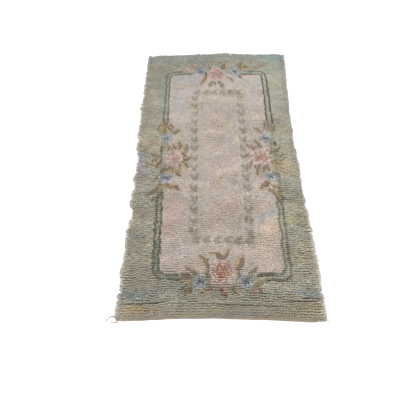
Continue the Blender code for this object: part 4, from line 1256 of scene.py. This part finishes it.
def build_rug():
    pile_mat, ground_mat, thread_mat = wool_pile_material(), ground_material(), thread_material()
    root, tip, colour, depth_shade, radius, spin, t = make_strands()
    print("yarn ends", len(root), "triangles", len(root) * 15)
    names = ("pile_near", "pile_lower", "pile_middle", "pile_upper", "pile_far")
    order = np.argsort(t, kind="stable")
    pieces = []
    for name, part in zip(names, np.array_split(order, len(names))):
        me = strand_mesh(name, root[part], tip[part], colour[part], depth_shade[part], radius[part], spin[part])
        ob = add_object(name, me, pile_mat)
        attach(ob, "root")
        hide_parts("rug")
        pieces.append(ob)
    ground = build_ground(ground_mat)
    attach(ground, "root")
    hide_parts("rug")
    threads = [build_thread(row, thread_mat, 80 + i) for i, row in enumerate(THREADS)]
    return pieces


# ------------------------------------------------------------------ stage ---
def build_stage():
    me = bpy.data.meshes.new("floor")
    size = 6.0
    me.from_pydata([(-size, -size, 0), (size, -size, 0), (size, size, 0), (-size, size, 0)], [], [(0, 1, 2, 3)])
    mat, tree, shader = new_material("floor_paint")
    shader.inputs["Base Color"].default_value = (0.93, 0.93, 0.93, 1)
    shader.inputs["Roughness"].default_value = 0.9
    shader.inputs["Specular IOR Level"].default_value = 0.1
    floor = add_object("floor", me, mat)

    world = bpy.data.worlds.new("studio")
    bpy.context.scene.world = world
    world.use_nodes = True
    back = world.node_tree.nodes["Background"]
    back.inputs["Color"].default_value = (1.0, 1.0, 1.0, 1)
    back.inputs["Strength"].default_value = 1.02

    for name, place, spread, power in (
            ("key", (-0.6, 1.1, 3.0), 16.0, 2.1),
            ("fill", (2.0, -0.6, 2.8), 40.0, 0.7)):
        data = bpy.data.lights.new(name, "SUN")
        data.angle = math.radians(spread)
        data.energy = power
        lamp = bpy.data.objects.new(name, data)
        bpy.context.scene.collection.objects.link(lamp)
        lamp.location = place
        lamp.rotation_euler = (Vector((0, 0, 0)) - Vector(place)).to_track_quat("-Z", "Y").to_euler()


def build_camera():
    pitch, yaw, roll = math.radians(56.5067), math.radians(3.0727), math.radians(-2.7461)
    place = np.array([-0.02489 + SHIFT[0], -1.21413 + SHIFT[1], 1.50512])
    fwd = np.array([-math.sin(yaw) * math.cos(pitch), math.cos(yaw) * math.cos(pitch), -math.sin(pitch)])
    right = np.array([math.cos(yaw), math.sin(yaw), 0.0])
    up = np.cross(right, fwd)
    across = right * math.cos(roll) + up * math.sin(roll)
    above = -right * math.sin(roll) + up * math.cos(roll)
    data = bpy.data.cameras.new("camera")
    data.sensor_width = 36.0
    data.lens = 36.0 * 410.0 / 400.0
    data.clip_start, data.clip_end = 0.02, 30.0
    cam = bpy.data.objects.new("camera", data)
    bpy.context.scene.collection.objects.link(cam)
    turn = Matrix(((across[0], above[0], -fwd[0]), (across[1], above[1], -fwd[1]),
                   (across[2], above[2], -fwd[2])))
    cam.matrix_world = Matrix.Translation(Vector(place)) @ turn.to_4x4()
    bpy.context.scene.camera = cam


bpy.context.scene.view_settings.view_transform = "Standard"
bpy.context.scene.view_settings.look = "None"
build_rug()
build_stage()
build_camera()
